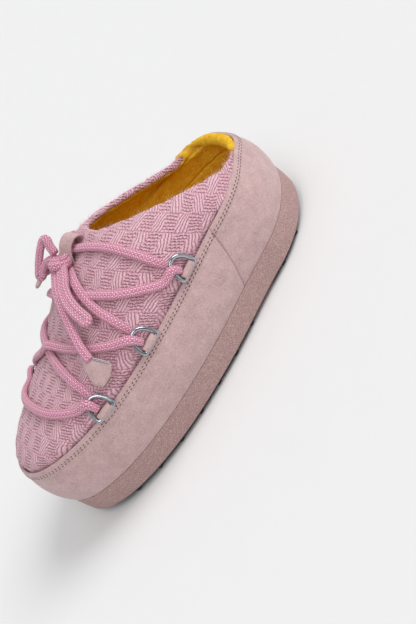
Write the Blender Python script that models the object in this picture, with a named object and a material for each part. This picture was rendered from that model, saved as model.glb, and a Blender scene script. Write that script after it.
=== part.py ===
"""A knit mule: platform sole, suede rand and heel counter, hollow knit upper laced through D-rings.

Metres. +X points to the toe, +Y to the side that the photograph shows, +Z up. The floor is at zero and
the middle of the sole's length is at X = 0. Distances named "s" run from the heel end of the sole.
"""

import math

import bmesh
import bpy
import numpy as np
from mathutils import Matrix, Vector

# Sole outline
SOLE_LENGTH = 0.2755
HEEL_WIDTH = 0.1138
BALL_WIDTH = 0.1238
HEEL_ROUND = 0.067
TOE_ROUND = 0.137
HEEL_POWER = 1.94
TOE_POWER = 2.21

# Rise of the sole's ends off the floor
TOE_SPRING = 0.0036
TOE_SPRING_LENGTH = 0.105
HEEL_SPRING = 0.0042
HEEL_SPRING_LENGTH = 0.044

# Heights above the floor, before spring
BAND_BOTTOM = 0.0038
BAND_TOP = 0.0222
POCKET_TOP = 0.0063
CORE_TOP = 0.0314
INSOLE_THICKNESS = 0.0050

# Wall of suede
BAND_PROUD = 0.0008
WALL_BULGE = 0.0042
SUEDE_THICKNESS = 0.0022
SUEDE_CLEARANCE = 0.0006
BAND_EDGE_ROUND = 0.0015

# Upper
UPPER_WALL = 0.0040
CORE_INSET = 0.0062
INSOLE_INSET = 0.0036
GAP = 0.0003

# Collar
COLLAR_BACK = 0.0065
COLLAR_WIDEST = 0.0320
COLLAR_FRONT = 0.1125
COLLAR_WIDTH = 0.0720
COLLAR_POWER = 2.4
COLLAR_SWING = 1.7
HEEL_HEIGHT = 0.0679
INSTEP_HEIGHT = 0.1176
RIM_OUT = 0.0050
RIM_DROP = 0.0015
RIM_ROUND = 0.0015
KNIT_POWER = 2.05
TOE_NOSE = 0.0300

# Where the knit starts beside the counter, from the heel end
KNIT_FROM = 0.014
KNIT_FULL = 0.036
FIELD_FROM = 0.030
FIELD_FULL = 0.070

# Skin height just under the suede's top edge
WALL_END = 0.98

# Where the upper starts and ends to come out over the suede's top edge, as skin heights
RIM_TUCK = (1.20, 2.00)
KNIT_TUCK = (1.02, 1.24)

# Seam between rand and counter, on the top edge and on the band
COUNTER_SEAM_TOP = 0.0732
COUNTER_SEAM_FOOT = 0.0918

# Columns: share of the sole length, height of the suede's top edge
SEAM_HEIGHTS = (
    (0.00, 0.0669),
    (0.07, 0.0669),
    (0.21, 0.0662),
    (0.48, 0.0642),
    (0.76, 0.0631),
    (1.00, 0.0671),
)

# Columns: share of the collar length, share of the climb from heel height to instep height
COLLAR_CLIMB = (
    (0.00, 0.000),
    (0.14, 0.000),
    (0.21, 0.026),
    (0.34, 0.168),
    (0.61, 0.512),
    (0.88, 0.860),
    (1.00, 1.000),
)

# Columns: share of the sole length, rise of the knit's crown above the suede's top edge
CROWN_RISE = (
    (0.41, 0.0533),
    (0.48, 0.0515),
    (0.57, 0.0450),
    (0.70, 0.0302),
    (0.81, 0.0228),
    (0.92, 0.0146),
    (1.00, 0.0100),
)

# Outsole
PLATE_BOTTOM = 0.0024
PLATE_INSET = 0.0035
POCKET_INSET = 0.0027
WAIST_WIDTH = 0.038
WAIST_FROM = 0.077
WAIST_TO = 0.108
WAIST_BLEND = 0.008
PLATE_RIM = 0.0035
LANE_DEPTH = 0.0016
STUD_WIDTH = 0.0080
STUD_DRAFT = 0.0008
STUD_PITCH = 0.0154
STUD_EDGE = 0.0075

# Columns: distance of a row of studs from the heel end
STUD_ROWS = (0.043, 0.066, 0.114, 0.137, 0.160, 0.183, 0.206, 0.229, 0.250)

# Rings and tabs, from the heel end
RING_PLACES = (0.1045, 0.1580, 0.2105)
RING_WIDTH = 0.0185
RING_DEPTH = 0.0150
RING_WIRE = 0.0022
RING_CLEARANCE = 0.0008
RING_SHOULDER = 0.85
TAB_WIDTH = 0.0100
TAB_ROUND = 0.0050

# Pull loop, a suede strap that stands on the instep
PULL_WIDTH = 0.0090
PULL_THICKNESS = 0.0018

# Columns: distance from the heel end, height over the knit
PULL_ROUTE = (
    (0.1180, 0.0000),
    (0.1168, 0.0070),
    (0.1190, 0.0125),
    (0.1240, 0.0150),
    (0.1290, 0.0135),
    (0.1322, 0.0080),
    (0.1335, 0.0000),
)

# Lace
LACE_WIDTH = 0.0062
LACE_CLEARANCE = 0.0009
LACE_OVER = 0.0020

# Columns: distance from the heel end, swing over the knit from 0 at the left edge to 180 at the right
TOE_BAR = ((0.2215, 37), (0.2279, 50), (0.2325, 70), (0.2335, 90))
TOP_BAR = ((0.1115, 27), (0.1139, 42), (0.1165, 58), (0.1210, 73), (0.1255, 90))
LOWER_CROSS_NEAR = (
    (0.1700, 27),
    (0.1735, 34),
    (0.1798, 47),
    (0.1858, 65),
    (0.1916, 90),
    (0.1990, 113),
    (0.2040, 130),
    (0.2072, 141),
)
UPPER_CROSS_NEAR = (
    (0.1215, 17),
    (0.1317, 27),
    (0.1419, 41),
    (0.1497, 58),
    (0.1560, 82),
    (0.1590, 105),
    (0.1585, 130),
    (0.1580, 150),
)

# Bow in front of the pull loop. Columns: distance from the heel end, distance to the left, height
KNOT = (0.1395, 0.0020, 0.1235)
KNOT_SIZE = (0.0110, 0.0160, 0.0100)
FAR_LOOP_ROUTE = (
    (0.1405, -0.0085, 0.1262),
    (0.1365, -0.0100, 0.1310),
    (0.1315, -0.0120, 0.1352),
    (0.1320, -0.0150, 0.1366),
    (0.1370, -0.0165, 0.1350),
    (0.1430, -0.0178, 0.1322),
    (0.1500, -0.0180, 0.1288),
    (0.1540, -0.0165, 0.1248),
    (0.1517, -0.0130, 0.1240),
    (0.1472, -0.0094, 0.1244),
)
NEAR_LOOP_ROUTE = (
    (0.1450, 0.0120, 0.1228),
    (0.1500, 0.0160, 0.1212),
    (0.1562, 0.0218, 0.1192),
    (0.1607, 0.0285, 0.1162),
    (0.1642, 0.0370, 0.1114),
    (0.1662, 0.0455, 0.1056),
)
NEAR_END_ROUTE = (
    (0.1475, 0.0030, 0.1232),
    (0.1530, 0.0085, 0.1222),
    (0.1602, 0.0158, 0.1197),
    (0.1677, 0.0245, 0.1138),
    (0.1747, 0.0335, 0.1072),
    (0.1800, 0.0405, 0.1023),
    (0.1854, 0.0474, 0.0966),
)
FAR_END_ROUTE = (
    (0.1415, -0.0086, 0.1172),
    (0.1448, -0.0140, 0.1185),
    (0.1488, -0.0210, 0.1192),
)

# Suede tips, each by its top edge's two corners and its point
TIP_THICKNESS = 0.0034
TIP_BLUNT = 0.12
NEAR_TIP = ((0.1876, 0.0466, 0.0957), (0.1821, 0.0625, 0.0824), (0.1984, 0.0583, 0.0803))
FAR_TIP = ((0.1430, -0.0285, 0.1203), (0.1560, -0.0175, 0.1208), (0.1595, -0.0400, 0.1124))

# Mesh steps
LACE_STEPS = 12
LACE_SIDES = 8
WIRE_SIDES = 6
ARC_STEPS = 9
TAB_SIDES = 8
PULL_STEPS = 11
KNOT_SIDES = 8
STUD_SIDES = 8
WELD = 0.00001
HALF_STEPS = 28
WALL_ROWS = 4
KNIT_ROWS = 10


def lerp(a, b, share):
    return a + (b - a) * share


def smoothstep(share):
    share = min(max(share, 0.0), 1.0)
    return share * share * (3 - 2 * share)


def read_table(rows, share):
    """Value at a share, on a smooth curve through the rows."""
    places = [row[0] for row in rows]
    values = [row[1] for row in rows]
    slopes = np.gradient(values, places)
    share = min(max(share, places[0]), places[-1])
    i = min(int(np.searchsorted(places, share, side="right")) - 1, len(rows) - 2)
    width = places[i + 1] - places[i]
    t = (share - places[i]) / width
    start = (1 + 2 * t) * (1 - t) ** 2 * values[i] + t * (1 - t) ** 2 * width * slopes[i]
    end = t * t * (3 - 2 * t) * values[i + 1] - t * t * (1 - t) * width * slopes[i + 1]
    return float(start + end)


def round_end(reach, power):
    """Half-width share of a superellipse at a share of its reach."""
    reach = min(max(reach, 0.0), 1.0)
    return (1 - reach**power) ** (1 / power)


def half_width(s):
    """Half the width of the sole outline."""
    toe_start = SOLE_LENGTH - TOE_ROUND
    if s < HEEL_ROUND:
        return HEEL_WIDTH / 2 * round_end(1 - s / HEEL_ROUND, HEEL_POWER)
    if s > toe_start:
        return BALL_WIDTH / 2 * round_end((s - toe_start) / TOE_ROUND, TOE_POWER)
    return lerp(HEEL_WIDTH, BALL_WIDTH, smoothstep((s - HEEL_ROUND) / (toe_start - HEEL_ROUND))) / 2


def spring(s):
    """Rise of the sole off the floor."""
    toe = max(0.0, (s - SOLE_LENGTH + TOE_SPRING_LENGTH) / TOE_SPRING_LENGTH)
    heel = max(0.0, (HEEL_SPRING_LENGTH - s) / HEEL_SPRING_LENGTH)
    return TOE_SPRING * toe**2 + HEEL_SPRING * heel**2


def side_of(turn):
    return 1 if math.sin(turn) >= 0 else -1


def edge_at(turn):
    """Sole outline as (s, y). A turn of 0 is the toe, of pi the heel, and positive is the left."""
    s = SOLE_LENGTH * (1 + math.cos(turn)) / 2
    return Vector((s, side_of(turn) * half_width(s)))


def edge(turn, out=0.0):
    """Sole outline moved outwards by a distance."""
    step = 0.002
    along = edge_at(turn + step) - edge_at(turn - step)
    return edge_at(turn) + out * Vector((along.y, -along.x)).normalized()


def seam_height(s):
    return read_table(SEAM_HEIGHTS, s / SOLE_LENGTH)


def collar_height(s):
    share = (s - COLLAR_BACK) / (COLLAR_FRONT - COLLAR_BACK)
    return lerp(HEEL_HEIGHT, INSTEP_HEIGHT, read_table(COLLAR_CLIMB, share))


def collar_half_width(s):
    if s < COLLAR_WIDEST:
        reach = (COLLAR_WIDEST - s) / (COLLAR_WIDEST - COLLAR_BACK)
    else:
        reach = (s - COLLAR_WIDEST) / (COLLAR_FRONT - COLLAR_WIDEST)
    return COLLAR_WIDTH / 2 * round_end(reach, COLLAR_POWER)


def collar_point(turn):
    """Crest of the collar that belongs to a turn of the sole outline."""
    swing = math.pi * (abs(math.remainder(turn, 2 * math.pi)) / math.pi) ** COLLAR_SWING
    reach = abs(math.cos(swing)) ** (2 / COLLAR_POWER)
    if swing < math.pi / 2:
        s = lerp(COLLAR_WIDEST, COLLAR_FRONT, reach)
    else:
        s = lerp(COLLAR_WIDEST, COLLAR_BACK, reach)
    y = side_of(turn) * COLLAR_WIDTH / 2 * math.sin(swing) ** (2 / COLLAR_POWER) if swing < math.pi else 0.0
    return Vector((s, y, collar_height(s)))


def knit_share(s):
    """How far the knit comes down outside the collar: 0 round the heel and 1 along the sides."""
    return smoothstep((s - KNIT_FROM) / (KNIT_FULL - KNIT_FROM))


def seam_point(turn):
    """Top outer edge of the suede: over the sole outline, or beside the collar round the heel."""
    wall = edge(turn)
    crest = collar_point(turn)
    outward = Vector((wall.x - crest.x, wall.y - crest.y)).normalized()
    beside = Vector((crest.x, crest.y)) + RIM_OUT * outward
    knit = knit_share(wall.x)
    plan = lerp(beside, wall, knit)
    height = lerp(crest.z - RIM_DROP, seam_height(wall.x), knit)
    return Vector((plan.x, plan.y, height))


def crown_rise(s):
    """Rise of the knit's crown above the suede edge, or of the crown that the collar is cut from."""
    if s >= COLLAR_FRONT:
        nose = max(0.0, (s - SOLE_LENGTH + TOE_NOSE) / TOE_NOSE)
        return read_table(CROWN_RISE, s / SOLE_LENGTH) * round_end(nose, 2)
    s = max(s, FIELD_FROM)
    cut = round_end(collar_half_width(s) / half_width(s), KNIT_POWER)
    return (collar_height(s) - seam_height(s)) / cut


def knit_height(s, y):
    s = min(s, SOLE_LENGTH)
    wide = max(half_width(s), 1e-6)
    return seam_height(s) + crown_rise(s) * round_end(abs(y) / wide, KNIT_POWER)


def knit_at(s, swing, lift=0.0):
    """Point over the knit at a place along the shoe. The swing is 0 at the left edge and 180 at the right."""

    def crown(place_s, degrees):
        angle = math.radians(degrees)
        across = math.copysign(abs(math.cos(angle)) ** (2 / KNIT_POWER), math.cos(angle))
        rise = crown_rise(place_s) * math.sin(angle) ** (2 / KNIT_POWER)
        return Vector((place_s, half_width(place_s) * across, seam_height(place_s) + rise))

    along = crown(s + 0.0005, swing) - crown(s - 0.0005, swing)
    over = crown(s, min(swing + 0.5, 180)) - crown(s, max(swing - 0.5, 0))
    return crown(s, swing) + lift * over.cross(along).normalized()


def skin(turn, v):
    """Outer skin of the shoe. v runs from 0 at the band to 1 at the suede's top edge and 2 at the collar."""
    seam = seam_point(turn)
    if v <= 1:
        s = edge_at(turn).x
        out = lerp(BAND_PROUD, 0, v) + WALL_BULGE * 4 * v * (1 - v)
        wall = edge(turn, out)
        lean = Vector((seam.x, seam.y)) - edge(turn)
        plan = wall + lean * v * v
        return Vector((plan.x, plan.y, lerp(BAND_TOP + spring(s), seam.z, v)))
    crest = collar_point(turn)
    angle = (v - 1) * math.pi / 2
    plan = lerp(seam, crest, 1 - math.cos(angle))
    rounded = lerp(seam.z, crest.z, math.sin(angle))
    share = smoothstep((edge_at(turn).x - FIELD_FROM) / (FIELD_FULL - FIELD_FROM))
    height = lerp(rounded, knit_height(plan.x, plan.y), share) if share else rounded
    return Vector((plan.x, plan.y, height))


def skin_normal(turn, v):
    step = 0.02
    low = max(v - step, 0)
    high = min(v + step, 2)
    if v > 1:
        low = max(low, 1)
    elif v < 1:
        high = min(high, 1)
    along = skin(turn + step, v) - skin(turn - step, v)
    up = skin(turn, high) - skin(turn, low)
    return along.cross(up).normalized()


def behind_suede(turn, v, depth):
    """Skin moved in by a depth along the suede wall's own normal, also above the wall."""
    return skin(turn, v) - depth * skin_normal(turn, min(v, WALL_END))


def place(point):
    """From distance along the sole to the model's own X."""
    return Vector((point[0] - SOLE_LENGTH / 2, point[1], point[2]))


def turns(start=-math.pi, end=math.pi, count=2 * HALF_STEPS, closed=True):
    steps = count if closed else count - 1
    return [start + (end - start) * i / steps for i in range(count)]


def add_mesh(name, bm, material, collection):
    bmesh.ops.recalc_face_normals(bm, faces=bm.faces)
    mesh = bpy.data.meshes.new(name)
    bm.to_mesh(mesh)
    bm.free()
    mesh.shade_smooth()
    mesh.set_sharp_from_angle(angle=math.radians(40))
    mesh.materials.append(material)
    obj = bpy.data.objects.new(name, mesh)
    collection.objects.link(obj)
    return obj


def sweep(name, sections, closed, material, collection):
    """Solid through closed sections. An open run is capped by strips across its end sections."""
    bm = bmesh.new()
    loops = [[bm.verts.new(place(point)) for point in section] for section in sections]
    count = len(loops[0])
    runs = len(loops) if closed else len(loops) - 1
    for i in range(runs):
        near = loops[i]
        far = loops[(i + 1) % len(loops)]
        for k in range(count):
            bm.faces.new((near[k], near[(k + 1) % count], far[(k + 1) % count], far[k]))
    if not closed:
        for loop in (loops[0], loops[-1]):
            for k in range(count // 2 - 1):
                bm.faces.new((loop[k], loop[k + 1], loop[count - 2 - k], loop[count - 1 - k]))
    return add_mesh(name, bm, material, collection)


def stack(name, rings, material, collection):
    """Solid through rings round the shoe, closed below and above by strips from side to side."""
    bm = bmesh.new()
    loops = [[bm.verts.new(place(point)) for point in ring] for ring in rings]
    count = len(loops[0])
    for near, far in zip(loops, loops[1:]):
        for k in range(count):
            bm.faces.new((near[k], near[(k + 1) % count], far[(k + 1) % count], far[k]))
    for loop in (loops[0], loops[-1]):
        for k in range(count // 2):
            corners = (loop[k], loop[k + 1], loop[(count - k - 1) % count], loop[(count - k) % count])
            bm.faces.new(tuple(dict.fromkeys(corners)))
    return add_mesh(name, bm, material, collection)


def ring_round(height, inset, count=2 * HALF_STEPS):
    """Ring round the shoe at an inset from the sole outline. The height is before spring."""
    ring = []
    for turn in turns(count=count):
        plan = edge(turn, -inset)
        ring.append((plan.x, plan.y, height + spring(edge_at(turn).x)))
    return ring


def make_midsole(material, collection):
    """Foam platform: side band, pocket for the outsole and the core inside the upper."""
    rings = [
        ring_round(POCKET_TOP, POCKET_INSET),
        ring_round(BAND_BOTTOM, POCKET_INSET),
        ring_round(BAND_BOTTOM, BAND_EDGE_ROUND),
        ring_round(BAND_BOTTOM + BAND_EDGE_ROUND, 0),
        ring_round(BAND_TOP - GAP, -BAND_PROUD),
        ring_round(BAND_TOP - GAP, CORE_INSET),
        ring_round(CORE_TOP, CORE_INSET),
    ]
    return stack("midsole", rings, material, collection)


def make_insole(material, collection):
    rings = [
        ring_round(CORE_TOP + GAP, CORE_INSET),
        ring_round(CORE_TOP + GAP + INSOLE_THICKNESS / 2, INSOLE_INSET),
        ring_round(CORE_TOP + GAP + INSOLE_THICKNESS, INSOLE_INSET),
    ]
    return stack("insole", rings, material, collection)


def waist_limit(s):
    """How far the outsole is drawn in to its waist, from 0 to 1."""
    into = smoothstep((s - WAIST_FROM) / WAIST_BLEND)
    out = smoothstep((WAIST_TO - s) / WAIST_BLEND)
    return into * out


def plate_ring(height, inset):
    """Ring of the outsole: the sole outline drawn in, and narrowed at the waist."""
    ring = []
    for turn in turns(count=4 * HALF_STEPS):
        plan = edge(turn, -PLATE_INSET - inset)
        narrow = side_of(turn) * min(abs(plan.y), WAIST_WIDTH / 2 - inset)
        y = lerp(plan.y, narrow, waist_limit(plan.x))
        ring.append((plan.x, y, height + spring(edge_at(turn).x)))
    return ring


def stud_places():
    """Middle of each stud: rows across the sole, spread evenly about the middle line."""
    places = []
    for s in STUD_ROWS:
        room = 2 * (half_width(s) - PLATE_INSET - STUD_EDGE)
        count = int(room / STUD_PITCH) + 1
        places += [(s, STUD_PITCH * (i - (count - 1) / 2)) for i in range(count)]
    return places


def make_outsole(material, collection, cutters):
    """Rubber plate with a raised rim and round studs that reach the floor."""
    floor = PLATE_BOTTOM + LANE_DEPTH
    rings = [
        plate_ring(POCKET_TOP - GAP, 0),
        plate_ring(PLATE_BOTTOM, 0),
        plate_ring(PLATE_BOTTOM, PLATE_RIM),
        plate_ring(floor, PLATE_RIM + LANE_DEPTH),
    ]
    outsole = stack("outsole", rings, material, collection)
    bm = bmesh.new()
    top = (floor + POCKET_TOP) / 2
    for s, y in stud_places():
        lift = spring(s)
        spot = Matrix.Translation(place((s, y, top / 2 + lift)))
        bmesh.ops.create_cone(
            bm,
            cap_ends=True,
            segments=STUD_SIDES,
            radius1=STUD_WIDTH / 2 - STUD_DRAFT,
            radius2=STUD_WIDTH / 2,
            depth=top,
            matrix=spot,
        )
    studs = add_mesh("studs", bm, material, cutters)
    studs.hide_render = True
    studs.display_type = "WIRE"
    join = outsole.modifiers.new("studs", "BOOLEAN")
    join.operation = "UNION"
    join.object = studs
    return outsole


def wall_values():
    return [i / WALL_ROWS for i in range(WALL_ROWS + 1)]


def knit_tuck(s, v):
    """Share of the suede's thickness that the upper lies behind: all of it below the edge, none well above."""
    start = lerp(RIM_TUCK[0], KNIT_TUCK[0], knit_share(s))
    end = lerp(RIM_TUCK[1], KNIT_TUCK[1], knit_share(s))
    return 1 - smoothstep((v - start) / (end - start))


def make_upper(material, collection):
    """Hollow shell: a low wall inside the suede, the knit above it and the rolled collar."""
    low = wall_values()
    high = [1 + (i + 1) / KNIT_ROWS for i in range(KNIT_ROWS)]
    behind = SUEDE_THICKNESS + SUEDE_CLEARANCE
    sections = []
    for turn in turns():
        outer = []
        inner = []
        for v in low + high:
            tuck = behind * knit_tuck(edge_at(turn).x, v)
            face = behind_suede(turn, v, tuck)
            outer.append(face)
            inner.append(face - UPPER_WALL * skin_normal(turn, v))
        crest = (outer[-1] + inner[-1]) / 2
        along = (outer[-1] - outer[-2]).normalized()
        sections.append(outer + [crest + RIM_ROUND * along] + inner[::-1])
    return sweep("upper", sections, True, material, collection)


def turn_at(s):
    """Turn of the sole outline at a distance from the heel end."""
    return math.acos(2 * s / SOLE_LENGTH - 1)


def counter_turn(v, away):
    """Turn of the slanting seam between counter and rand at a height, moved along the sole."""
    return turn_at(lerp(COUNTER_SEAM_FOOT, COUNTER_SEAM_TOP, v) + away)


def suede_ribbon(name, start, end, count, material, collection):
    """Wall of suede between two seams, each a function that gives the turn at a height."""
    values = wall_values()
    sections = []
    for i in range(count):
        outer = []
        inner = []
        for v in values:
            turn = lerp(start(v), end(v), i / (count - 1))
            outer.append(skin(turn, v))
            inner.append(behind_suede(turn, v, SUEDE_THICKNESS))
        sections.append(outer + inner[::-1])
    return sweep(name, sections, False, material, collection)


def make_rand(material, collection):
    def left(v):
        return counter_turn(v, GAP / 2)

    def right(v):
        return -counter_turn(v, GAP / 2)

    return suede_ribbon("rand", right, left, 2 * HALF_STEPS * 2 // 3, material, collection)


def make_counter(material, collection):
    def left(v):
        return counter_turn(v, -GAP / 2)

    def right(v):
        return 2 * math.pi - counter_turn(v, -GAP / 2)

    return suede_ribbon("counter", left, right, 2 * HALF_STEPS // 2, material, collection)


def smooth_route(points, count):
    """Points at even steps of a smooth curve through a route."""
    table = [np.array(point) for point in points]
    places = np.linspace(0, len(table) - 1, count)
    route = []
    for place_along in places:
        i = min(int(place_along), len(table) - 2)
        t = place_along - i
        before = table[max(i - 1, 0)]
        after = table[min(i + 2, len(table) - 1)]
        start = (table[i + 1] - before) / 2
        end = (after - table[i]) / 2
        point = (1 + 2 * t) * (1 - t) ** 2 * table[i] + t * (1 - t) ** 2 * start
        point = point + t * t * (3 - 2 * t) * table[i + 1] - t * t * (1 - t) * end
        route.append(point)
    return route


def make_tube(name, points, width, closed, sides, material, collection):
    """Round wire or cord along points, with filled ends."""
    curve = bpy.data.curves.new(name, "CURVE")
    curve.dimensions = "3D"
    curve.bevel_depth = width / 2
    curve.bevel_resolution = (sides - 4) // 2
    curve.use_fill_caps = not closed
    spline = curve.splines.new("POLY")
    spline.points.add(len(points) - 1)
    for knot, point in zip(spline.points, points):
        knot.co = (*place(point), 1)
    spline.use_cyclic_u = closed
    curve.materials.append(material)
    obj = bpy.data.objects.new(name, curve)
    collection.objects.link(obj)
    return obj


def as_mesh(obj):
    """Mesh object in the place of a curve object, with its caps welded."""
    graph = bpy.context.evaluated_depsgraph_get()
    mesh = bpy.data.meshes.new_from_object(obj.evaluated_get(graph))
    bm = bmesh.new()
    bm.from_mesh(mesh)
    bmesh.ops.remove_doubles(bm, verts=bm.verts, dist=WELD)
    bmesh.ops.recalc_face_normals(bm, faces=bm.faces)
    bm.to_mesh(mesh)
    bm.free()
    name = obj.name
    collection = obj.users_collection[0]
    world = obj.matrix_world.copy()
    bpy.data.objects.remove(obj, do_unlink=True)
    solid = bpy.data.objects.new(name, mesh)
    solid.matrix_world = world
    collection.objects.link(solid)
    return solid


def mirrored(table):
    """Route over the knit carried on from the middle line to the other side."""
    return table + tuple((s, 180 - swing) for s, swing in table[-2::-1])


def other_side(table):
    return tuple((s, 180 - swing) for s, swing in table)


def lace_over_knit(name, table, material, collection, over=0.0):
    """Strand over the knit. The one that passes over another is lifted in the middle of its way."""
    points = []
    for i, (s, swing) in enumerate(smooth_route(table, LACE_STEPS)):
        lift = LACE_WIDTH / 2 + LACE_CLEARANCE + over * math.sin(math.pi * i / (LACE_STEPS - 1))
        points.append(knit_at(s, swing, lift))
    return make_tube(name, points, LACE_WIDTH, False, LACE_SIDES, material, collection)


def make_crossing(name, table, material, collection, cutters):
    """Two strands that cross on the instep, joined into one solid."""
    near = as_mesh(lace_over_knit(name, table, material, collection))
    far = as_mesh(lace_over_knit(name + "_far", other_side(table), material, cutters, LACE_OVER))
    far.hide_render = True
    far.display_type = "WIRE"
    join = near.modifiers.new("far strand", "BOOLEAN")
    join.operation = "UNION"
    join.object = far
    return near


def make_laces(material, collection, cutters):
    lace_over_knit("lace_top_bar", mirrored(TOP_BAR), material, collection)
    lace_over_knit("lace_toe_bar", mirrored(TOE_BAR), material, collection)
    make_crossing("lace_upper_cross", UPPER_CROSS_NEAR, material, collection, cutters)
    make_crossing("lace_lower_cross", LOWER_CROSS_NEAR, material, collection, cutters)


def make_bow(material, suede, collection):
    """Knot, two loops and two ends with their suede tips."""
    bm = bmesh.new()
    size = Matrix.Diagonal((*KNOT_SIZE, 1))
    spot = Matrix.Translation(place(KNOT)) @ size
    bmesh.ops.create_uvsphere(bm, u_segments=KNOT_SIDES, v_segments=KNOT_SIDES, radius=0.5, matrix=spot)
    add_mesh("lace_knot", bm, material, collection)
    routes = {
        "lace_loop_far": FAR_LOOP_ROUTE,
        "lace_loop_near": NEAR_LOOP_ROUTE,
        "lace_end_near": NEAR_END_ROUTE,
        "lace_end_far": FAR_END_ROUTE,
    }
    for name, route in routes.items():
        points = smooth_route(route, 2 * len(route) - 1)
        make_tube(name, points, LACE_WIDTH, False, LACE_SIDES, material, collection)
    make_tip("lace_tip_near", NEAR_TIP, suede, collection)
    make_tip("lace_tip_far", FAR_TIP, suede, collection)


def make_tip(name, corners, material, collection):
    """Flat suede tip, wide at its top edge and drawn to a blunt point."""
    first, second, point = [Vector(place(corner)) for corner in corners]
    across = second - first
    normal = across.cross(point - first).normalized()
    blunt = across * TIP_BLUNT
    outline = [first, second, point + blunt, point - blunt]
    bm = bmesh.new()
    low = [bm.verts.new(corner - normal * TIP_THICKNESS / 2) for corner in outline]
    high = [bm.verts.new(corner + normal * TIP_THICKNESS / 2) for corner in outline]
    bm.faces.new(low)
    bm.faces.new(high)
    for k in range(len(outline)):
        after = (k + 1) % len(outline)
        bm.faces.new((low[k], low[after], high[after], high[k]))
    add_mesh(name, bm, material, collection)


def ring_frame(s, side):
    """Middle of a ring's bar, the way along it and the way up the knit, on one side of the shoe."""
    bar_height = seam_height(s) + TAB_ROUND / 2 + GAP
    swing = 0.0
    while knit_at(s, swing, TAB_ROUND / 2 + GAP).z < bar_height:
        swing += 0.25
    bar = knit_at(s, swing, TAB_ROUND / 2 + GAP)
    along = knit_at(s + 0.002, swing, TAB_ROUND / 2) - knit_at(s - 0.002, swing, TAB_ROUND / 2)
    along.normalize()
    lean = -10.0
    for end in (-1, 0, 1):
        base = bar + along * end * RING_WIDTH / 2
        for height in (0.4, 0.6, 0.8, 1.0):
            while knit_at(base.x, swing, RING_WIRE / 2).z < base.z + height * RING_DEPTH and swing < 90:
                swing += 0.5
            rest = knit_at(base.x, swing, RING_WIRE / 2 + RING_CLEARANCE)
            lean = max(lean, (rest.y - base.y) / (rest.z - base.z))
            swing = swing if height < 1.0 else 0.0
    up = Vector((0, lean, 1))
    up = (up - up.dot(along) * along).normalized()
    turn_over = Vector((1, side, 1))
    return bar * turn_over, along * turn_over, up * turn_over


def make_ring(name, s, side, material, collection):
    """Metal D-ring: a straight bar and an arc."""
    bar, along, up = ring_frame(s, side)
    half = (RING_WIDTH - RING_WIRE) / 2
    depth = RING_DEPTH - RING_WIRE
    points = []
    for i in range(ARC_STEPS + 1):
        angle = math.pi * i / ARC_STEPS
        points.append(bar + along * half * math.cos(angle) + up * depth * math.sin(angle) ** RING_SHOULDER)
    return make_tube(name, points, RING_WIRE, True, WIRE_SIDES, material, collection)


def make_tab(name, s, side, material, collection):
    """Suede fold round the ring's bar, above the rand's edge."""
    bar, along, up = ring_frame(s, side)
    curve = bpy.data.curves.new(name, "CURVE")
    curve.dimensions = "2D"
    curve.fill_mode = "BOTH"
    curve.extrude = TAB_WIDTH / 2
    for radius in (TAB_ROUND / 2, RING_WIRE / 2 + GAP):
        spline = curve.splines.new("POLY")
        spline.points.add(TAB_SIDES - 1)
        spline.use_cyclic_u = True
        for i, knot in enumerate(spline.points):
            angle = 2 * math.pi * i / TAB_SIDES
            knot.co = (radius * math.cos(angle), radius * math.sin(angle), 0, 1)
    curve.materials.append(material)
    tab = bpy.data.objects.new(name, curve)
    out = along.cross(up).normalized()
    turned = Matrix((out, along.cross(out).normalized(), along)).transposed()
    tab.matrix_world = Matrix.Translation(place(bar)) @ turned.to_4x4()
    collection.objects.link(tab)
    return tab


def make_rings(metal, suede, collection):
    for number, s in enumerate(RING_PLACES, 1):
        for side, word in ((1, "left"), (-1, "right")):
            make_ring(f"d_ring_{word}_{number}", s, side, metal, collection)
            make_tab(f"ring_tab_{word}_{number}", s, side, suede, collection)


def make_pull_loop(material, collection):
    """Strap bent into a standing loop, its feet just over the knit on the middle line."""
    route = smooth_route(PULL_ROUTE, PULL_STEPS)
    rise = PULL_THICKNESS / 2 + GAP
    middle = [Vector((s, 0, knit_at(s, 90).z + height + rise)) for s, height in route]
    sections = []
    for i, point in enumerate(middle):
        along = (middle[min(i + 1, len(middle) - 1)] - middle[max(i - 1, 0)]).normalized()
        out = along.cross(Vector((0, 1, 0))) * PULL_THICKNESS / 2
        wide = Vector((0, PULL_WIDTH / 2, 0))
        sections.append([point - wide - out, point + wide - out, point + wide + out, point - wide + out])
    return sweep("pull_loop", sections, False, material, collection)


def make_material(name, colour, roughness, metallic=0.0):
    material = bpy.data.materials.new(name)
    material.use_nodes = True
    shader = material.node_tree.nodes["Principled BSDF"]
    shader.inputs["Base Color"].default_value = (*colour, 1)
    shader.inputs["Roughness"].default_value = roughness
    shader.inputs["Metallic"].default_value = metallic
    return material


def build():
    for obj in list(bpy.data.objects):
        bpy.data.objects.remove(obj, do_unlink=True)
    mule = bpy.data.collections.new("knit_mule")
    cutters = bpy.data.collections.new("cutters")
    for collection in (mule, cutters):
        bpy.context.scene.collection.children.link(collection)
    rubber = make_material("black rubber", (0.012, 0.012, 0.014), 0.45)
    foam = make_material("speckled foam", (0.46, 0.33, 0.33), 0.85)
    knit = make_material("pink wool knit", (0.62, 0.34, 0.44), 0.95)
    suede = make_material("pale pink suede", (0.58, 0.40, 0.39), 0.9)
    fleece = make_material("mustard fleece", (0.78, 0.43, 0.02), 0.95)
    make_outsole(rubber, mule, cutters)
    make_midsole(foam, mule)
    make_insole(fleece, mule)
    make_upper(knit, mule)
    make_rand(suede, mule)
    make_counter(suede, mule)
    metal = make_material("nickel plated steel", (0.62, 0.64, 0.66), 0.25, 1.0)
    lace = make_material("pink braided cord", (0.72, 0.30, 0.50), 0.8)
    make_rings(metal, suede, mule)
    make_pull_loop(suede, mule)
    make_laces(lace, mule, cutters)
    make_bow(lace, suede, mule)


build()
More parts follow.
